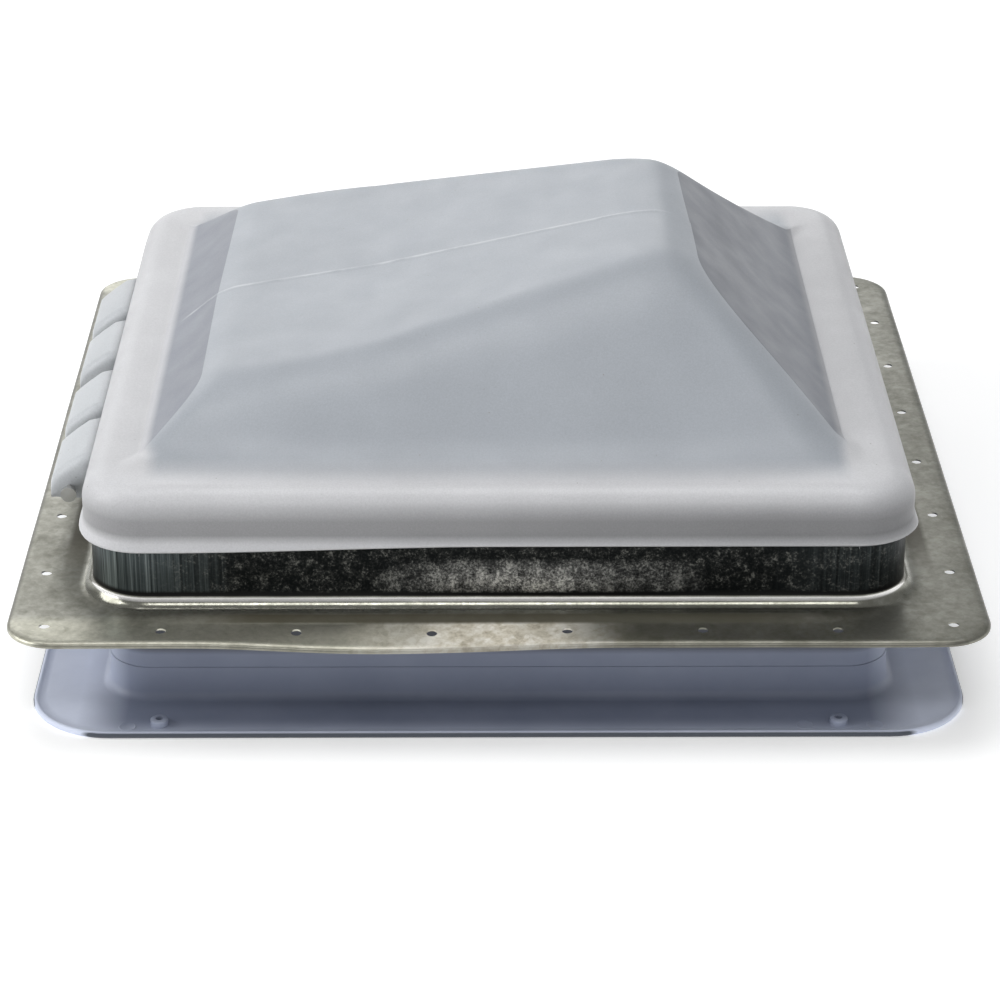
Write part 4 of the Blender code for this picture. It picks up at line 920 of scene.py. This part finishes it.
def trim_rows():
    """(half width, corner radius, height) over the edge, up the collar and down inside."""
    rows = [(TRIM_HALF + out * MM, 37.0 * MM + out * MM, z * MM) for out, z in ROLLED_EDGE]
    for half in (203.0, 197.0, 191.0, 186.0):
        share = (TRIM_HALF - half * MM) / (TRIM_HALF - COLLAR_HALF)
        rows.append((half * MM, mix(36.0 * MM, COLLAR_CORNER + 7 * MM, share), TRIM_FLOOR))
    for x, z in arc(0.0, 0.0, COLLAR_FILLET, 90.0, 0.0, 7):
        rows.append((COLLAR_HALF + COLLAR_FILLET - x, COLLAR_CORNER + COLLAR_FILLET - x,
                     TRIM_FLOOR + COLLAR_FILLET - z))
    for z, out in ((12.0 * MM, 0.0), (COLLAR_STEP - 0.25 * MM, 0.0), (COLLAR_STEP, -0.35 * MM),
                   (COLLAR_STEP + 3 * MM, -0.35 * MM), (30 * MM, -0.3 * MM),
                   (42 * MM, -0.1 * MM), (TRIM_TOP, 0.0)):
        rows.append((collar_at(z) + out, COLLAR_CORNER, z))
    for z, thick in ((TRIM_TOP, 2.0), (COLLAR_STEP, 2.0), (8.0 * MM, 2.0), (3.0 * MM, 1.6),
                     (1.0 * MM, 0.8), (0.0, 0.0)):
        outside = collar_at(z) if z > 7 * MM else COLLAR_HALF
        rows.append((outside - thick * MM, COLLAR_CORNER - thick * MM, z))
    return rows


def make_trim():
    """The ring with its collar, four screw bosses and six round moulding marks."""
    bm = bmesh.new()
    made = skin(bm, [square(half, radius, z, 14, 40) for half, radius, z in trim_rows()])
    skin_between(bm, [made[-1], made[0]])
    for x in (-BOSS_X, BOSS_X):
        for y in (-BOSS_Y, BOSS_Y):
            lathe(bm, [(r * MM, z * MM) for r, z in BOSS], (x, y, 0.0))
            lathe(bm, [(0.0, 2.12 * MM), (1.75 * MM, 2.12 * MM)], (x, y, 0.0), material=1)
    for x, y in MARK_PLACES:
        lathe(bm, [(r * MM, z * MM) for r, z in MARK], (x * MM, y * MM, 0.0))
    bmesh.ops.recalc_face_normals(bm, faces=bm.faces)
    trim = mesh_object("trim_moulding", bm, 45.0)
    trim.data.materials.append(TRIM_MATERIAL)
    trim.data.materials.append(RUBBER)
    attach(trim, "base")
    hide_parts("trim_ring")


# ---- insect screen ------------------------------------------------------------------------
WIRE_PITCH = 1.6 * MM
WIRE_THICK = 0.32 * MM


def rod(bm, a, b):
    """A thin square rod from a to b, both along one axis."""
    along = (b - a).normalized()
    out = Vector((0, 0, 1)).cross(along)
    up = Vector((0, 0, 1))
    half = WIRE_THICK / 2
    turns = (out * half, up * half, -out * half, -up * half)
    start, end = skin(bm, [[end + t for t in turns] for end in (a, b)])
    bm.faces.new(start[::-1])
    bm.faces.new(end)


def make_screen():
    """Two crossing layers of wire, cut back round the grommet on the crank's shaft."""
    low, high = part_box("insect_screen")
    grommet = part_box("screen_grommet")
    centre = (grommet[0] + grommet[1]) / 2
    hole = (grommet[1].x - grommet[0].x) / 2 - 2.0 * MM
    half = high.x
    inset = 4.0 * MM
    bm = bmesh.new()
    count = int(2 * half / WIRE_PITCH)
    for k in range(1, count):
        place = -half + k * 2 * half / count
        reach = half - max(abs(place) - half + inset, 0.0)
        for axis in (0, 1):
            other = 1 - axis
            offset = place - centre[other]
            level = (low.z + high.z) / 2 + (0.16 * MM if axis else -0.16 * MM)
            spans = [(-reach, reach)]
            if abs(offset) < hole:
                gap = math.sqrt(hole * hole - offset * offset)
                spans = [(-reach, centre[axis] - gap), (centre[axis] + gap, reach)]
            for first, last in spans:
                ends = []
                for along in (first, last):
                    spot = Vector((0.0, 0.0, level))
                    spot[axis], spot[other] = along, place
                    ends.append(spot)
                rod(bm, *ends)
    screen = mesh_object("screen_mesh_wires", bm, 20.0)
    screen.data.materials.append(WIRE)
    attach(screen, "base")
    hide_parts("insect_screen")


# ---- stage, lights and camera -------------------------------------------------------------
FLOOR_REACH = 20.0
FLOOR_GLOW = (0.32, 0.72)     # near the part, and far from it
GLOW_FROM, GLOW_TO = 1.0, 2.6
SKY = ((0.12, 0.95), (0.36, 0.32))            # height of the direction, and brightness
# name, place, width, depth, watts; each lamp looks at the middle of the part
LAMPS = (("key", (-1.8, -0.3, 1.2), 1.3, 1.3, 20.0),
         ("back", (-0.5, 2.4, 1.1), 2.2, 0.9, 10.0),
         ("top", (-0.1, 0.3, 2.4), 1.6, 1.2, 18.5),
         ("front", (0.1, -1.6, 1.9), 1.3, 0.5, 9.0))
LAMP_TARGET = (0, 0, 0.1)
CAMERA_PLACE = (-0.01115, -1.41668, 0.69546)
CAMERA_TURN, CAMERA_DOWN, CAMERA_ROLL = -0.527, 25.62, 0.143       # degrees
CAMERA_LENS = 113.85


def make_stage():
    """A pale floor that glows a little, and more in the distance."""
    bm = bmesh.new()
    bmesh.ops.create_grid(bm, x_segments=2, y_segments=2, size=FLOOR_REACH)
    floor = mesh_object("floor", bm)
    s = Surface("floor_look", (0.86, 0.86, 0.86), 0.9, Specular_IOR_Level=0.1)
    s.colour(s.ramp(s.noise(3.0), [(0.3, 0.88), (0.7, 0.90)]))
    s.set("Emission Color", (1.0, 1.0, 1.0, 1.0))
    far = s.tree.nodes.new("ShaderNodeVectorMath")
    far.operation = "LENGTH"
    s.link(s.place, far.inputs[0])
    glow = s.range(far.outputs["Value"], GLOW_FROM, GLOW_TO, *FLOOR_GLOW)
    s.link(glow, s.shader.inputs["Emission Strength"])
    floor.data.materials.append(s.material)


def area_light(name, place, size, size_y, watts):
    lamp = bpy.data.lights.new(name, "AREA")
    lamp.shape = "RECTANGLE"
    lamp.size = size
    lamp.size_y = size_y
    lamp.energy = watts
    obj = bpy.data.objects.new(name, lamp)
    bpy.context.scene.collection.objects.link(obj)
    obj.location = place
    direction = Vector(LAMP_TARGET) - Vector(place)
    obj.rotation_euler = direction.to_track_quat("-Z", "Y").to_euler()


def make_lights():
    """A sky that is brighter near the horizon, and four lamps."""
    world = bpy.data.worlds.new("studio")
    world.use_nodes = True
    tree = world.node_tree
    direction = tree.nodes.new("ShaderNodeTexCoord").outputs["Generated"]
    split = tree.nodes.new("ShaderNodeSeparateXYZ")
    tree.links.new(direction, split.inputs[0])
    sky = tree.nodes.new("ShaderNodeValToRGB")
    for stop, (height, grey) in zip(sky.color_ramp.elements, SKY):
        stop.position = height
        stop.color = (grey * 0.97, grey * 0.985, grey, 1.0)
    tree.links.new(split.outputs["Z"], sky.inputs["Fac"])
    tree.links.new(sky.outputs["Color"], tree.nodes["Background"].inputs["Color"])
    bpy.context.scene.world = world
    for lamp in LAMPS:
        area_light(*lamp)
    scene = bpy.context.scene
    scene.view_settings.view_transform = "Standard"
    scene.view_settings.look = "None"


def make_camera():
    """Front on, a little above, and very slightly turned."""
    data = bpy.data.cameras.new("camera")
    data.lens = CAMERA_LENS
    data.sensor_width = 36.0
    data.clip_end = 50.0
    camera = bpy.data.objects.new("camera", data)
    bpy.context.scene.collection.objects.link(camera)
    turn = Matrix.Rotation(math.radians(CAMERA_TURN), 4, "Z")
    tilt = Matrix.Rotation(math.radians(90.0 - CAMERA_DOWN), 4, "X")
    roll = Matrix.Rotation(math.radians(CAMERA_ROLL), 4, "Z")
    place = Matrix.Translation(CAMERA_PLACE)
    camera.matrix_world = place @ turn @ tilt @ roll
    bpy.context.scene.camera = camera


# ---- carried-over nodes -------------------------------------------------------------------
FASTENERS = {"leaf_rivet": 5, "bar_rivet": 4, "cover_screw": 3, "foot_screw": 2, "foot_nut": 2,
             "hanger_screw_front": 2, "hanger_screw_rear": 2, "hanger_rivet_front": 2,
             "hanger_rivet_rear": 2}


def dress(surface, *names):
    """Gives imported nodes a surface, in place of the plain one they carry."""
    for name in names:
        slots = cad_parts[name].data.materials
        slots.clear()
        slots.append(surface)


def dress_nodes():
    """Every node that isn't replaced gets its own material."""
    for stem, count in FASTENERS.items():
        dress(PLATED, *[f"{stem}_{k + 1}" for k in range(count)])
    dress(PLATED, "hinge_leaf", "hinge_pin", "hinge_pin_retainer", "track_rail",
          "track_hanger_front", "track_hanger_rear", "lift_arm", "output_shaft", "arm_retainer",
          "roller_pin", "worm_shaft", "knob_screw", "operator_bar")
    dress(NYLON_MATERIAL, "worm_wheel", "track_roller", "worm_bushing")
    dress(CAST, "operator_housing", "operator_cover")
    dress(KNOB_MATERIAL, "crank_knob")
    dress(FRAME_MATERIAL, "screen_frame")
    dress(FOAM, "neck_gasket")
    dress(RUBBER, "screen_grommet", "screen_spline")


make_camera()
make_stage()
make_lights()
make_lid()
make_base()
make_trim()
make_screen()
dress_nodes()
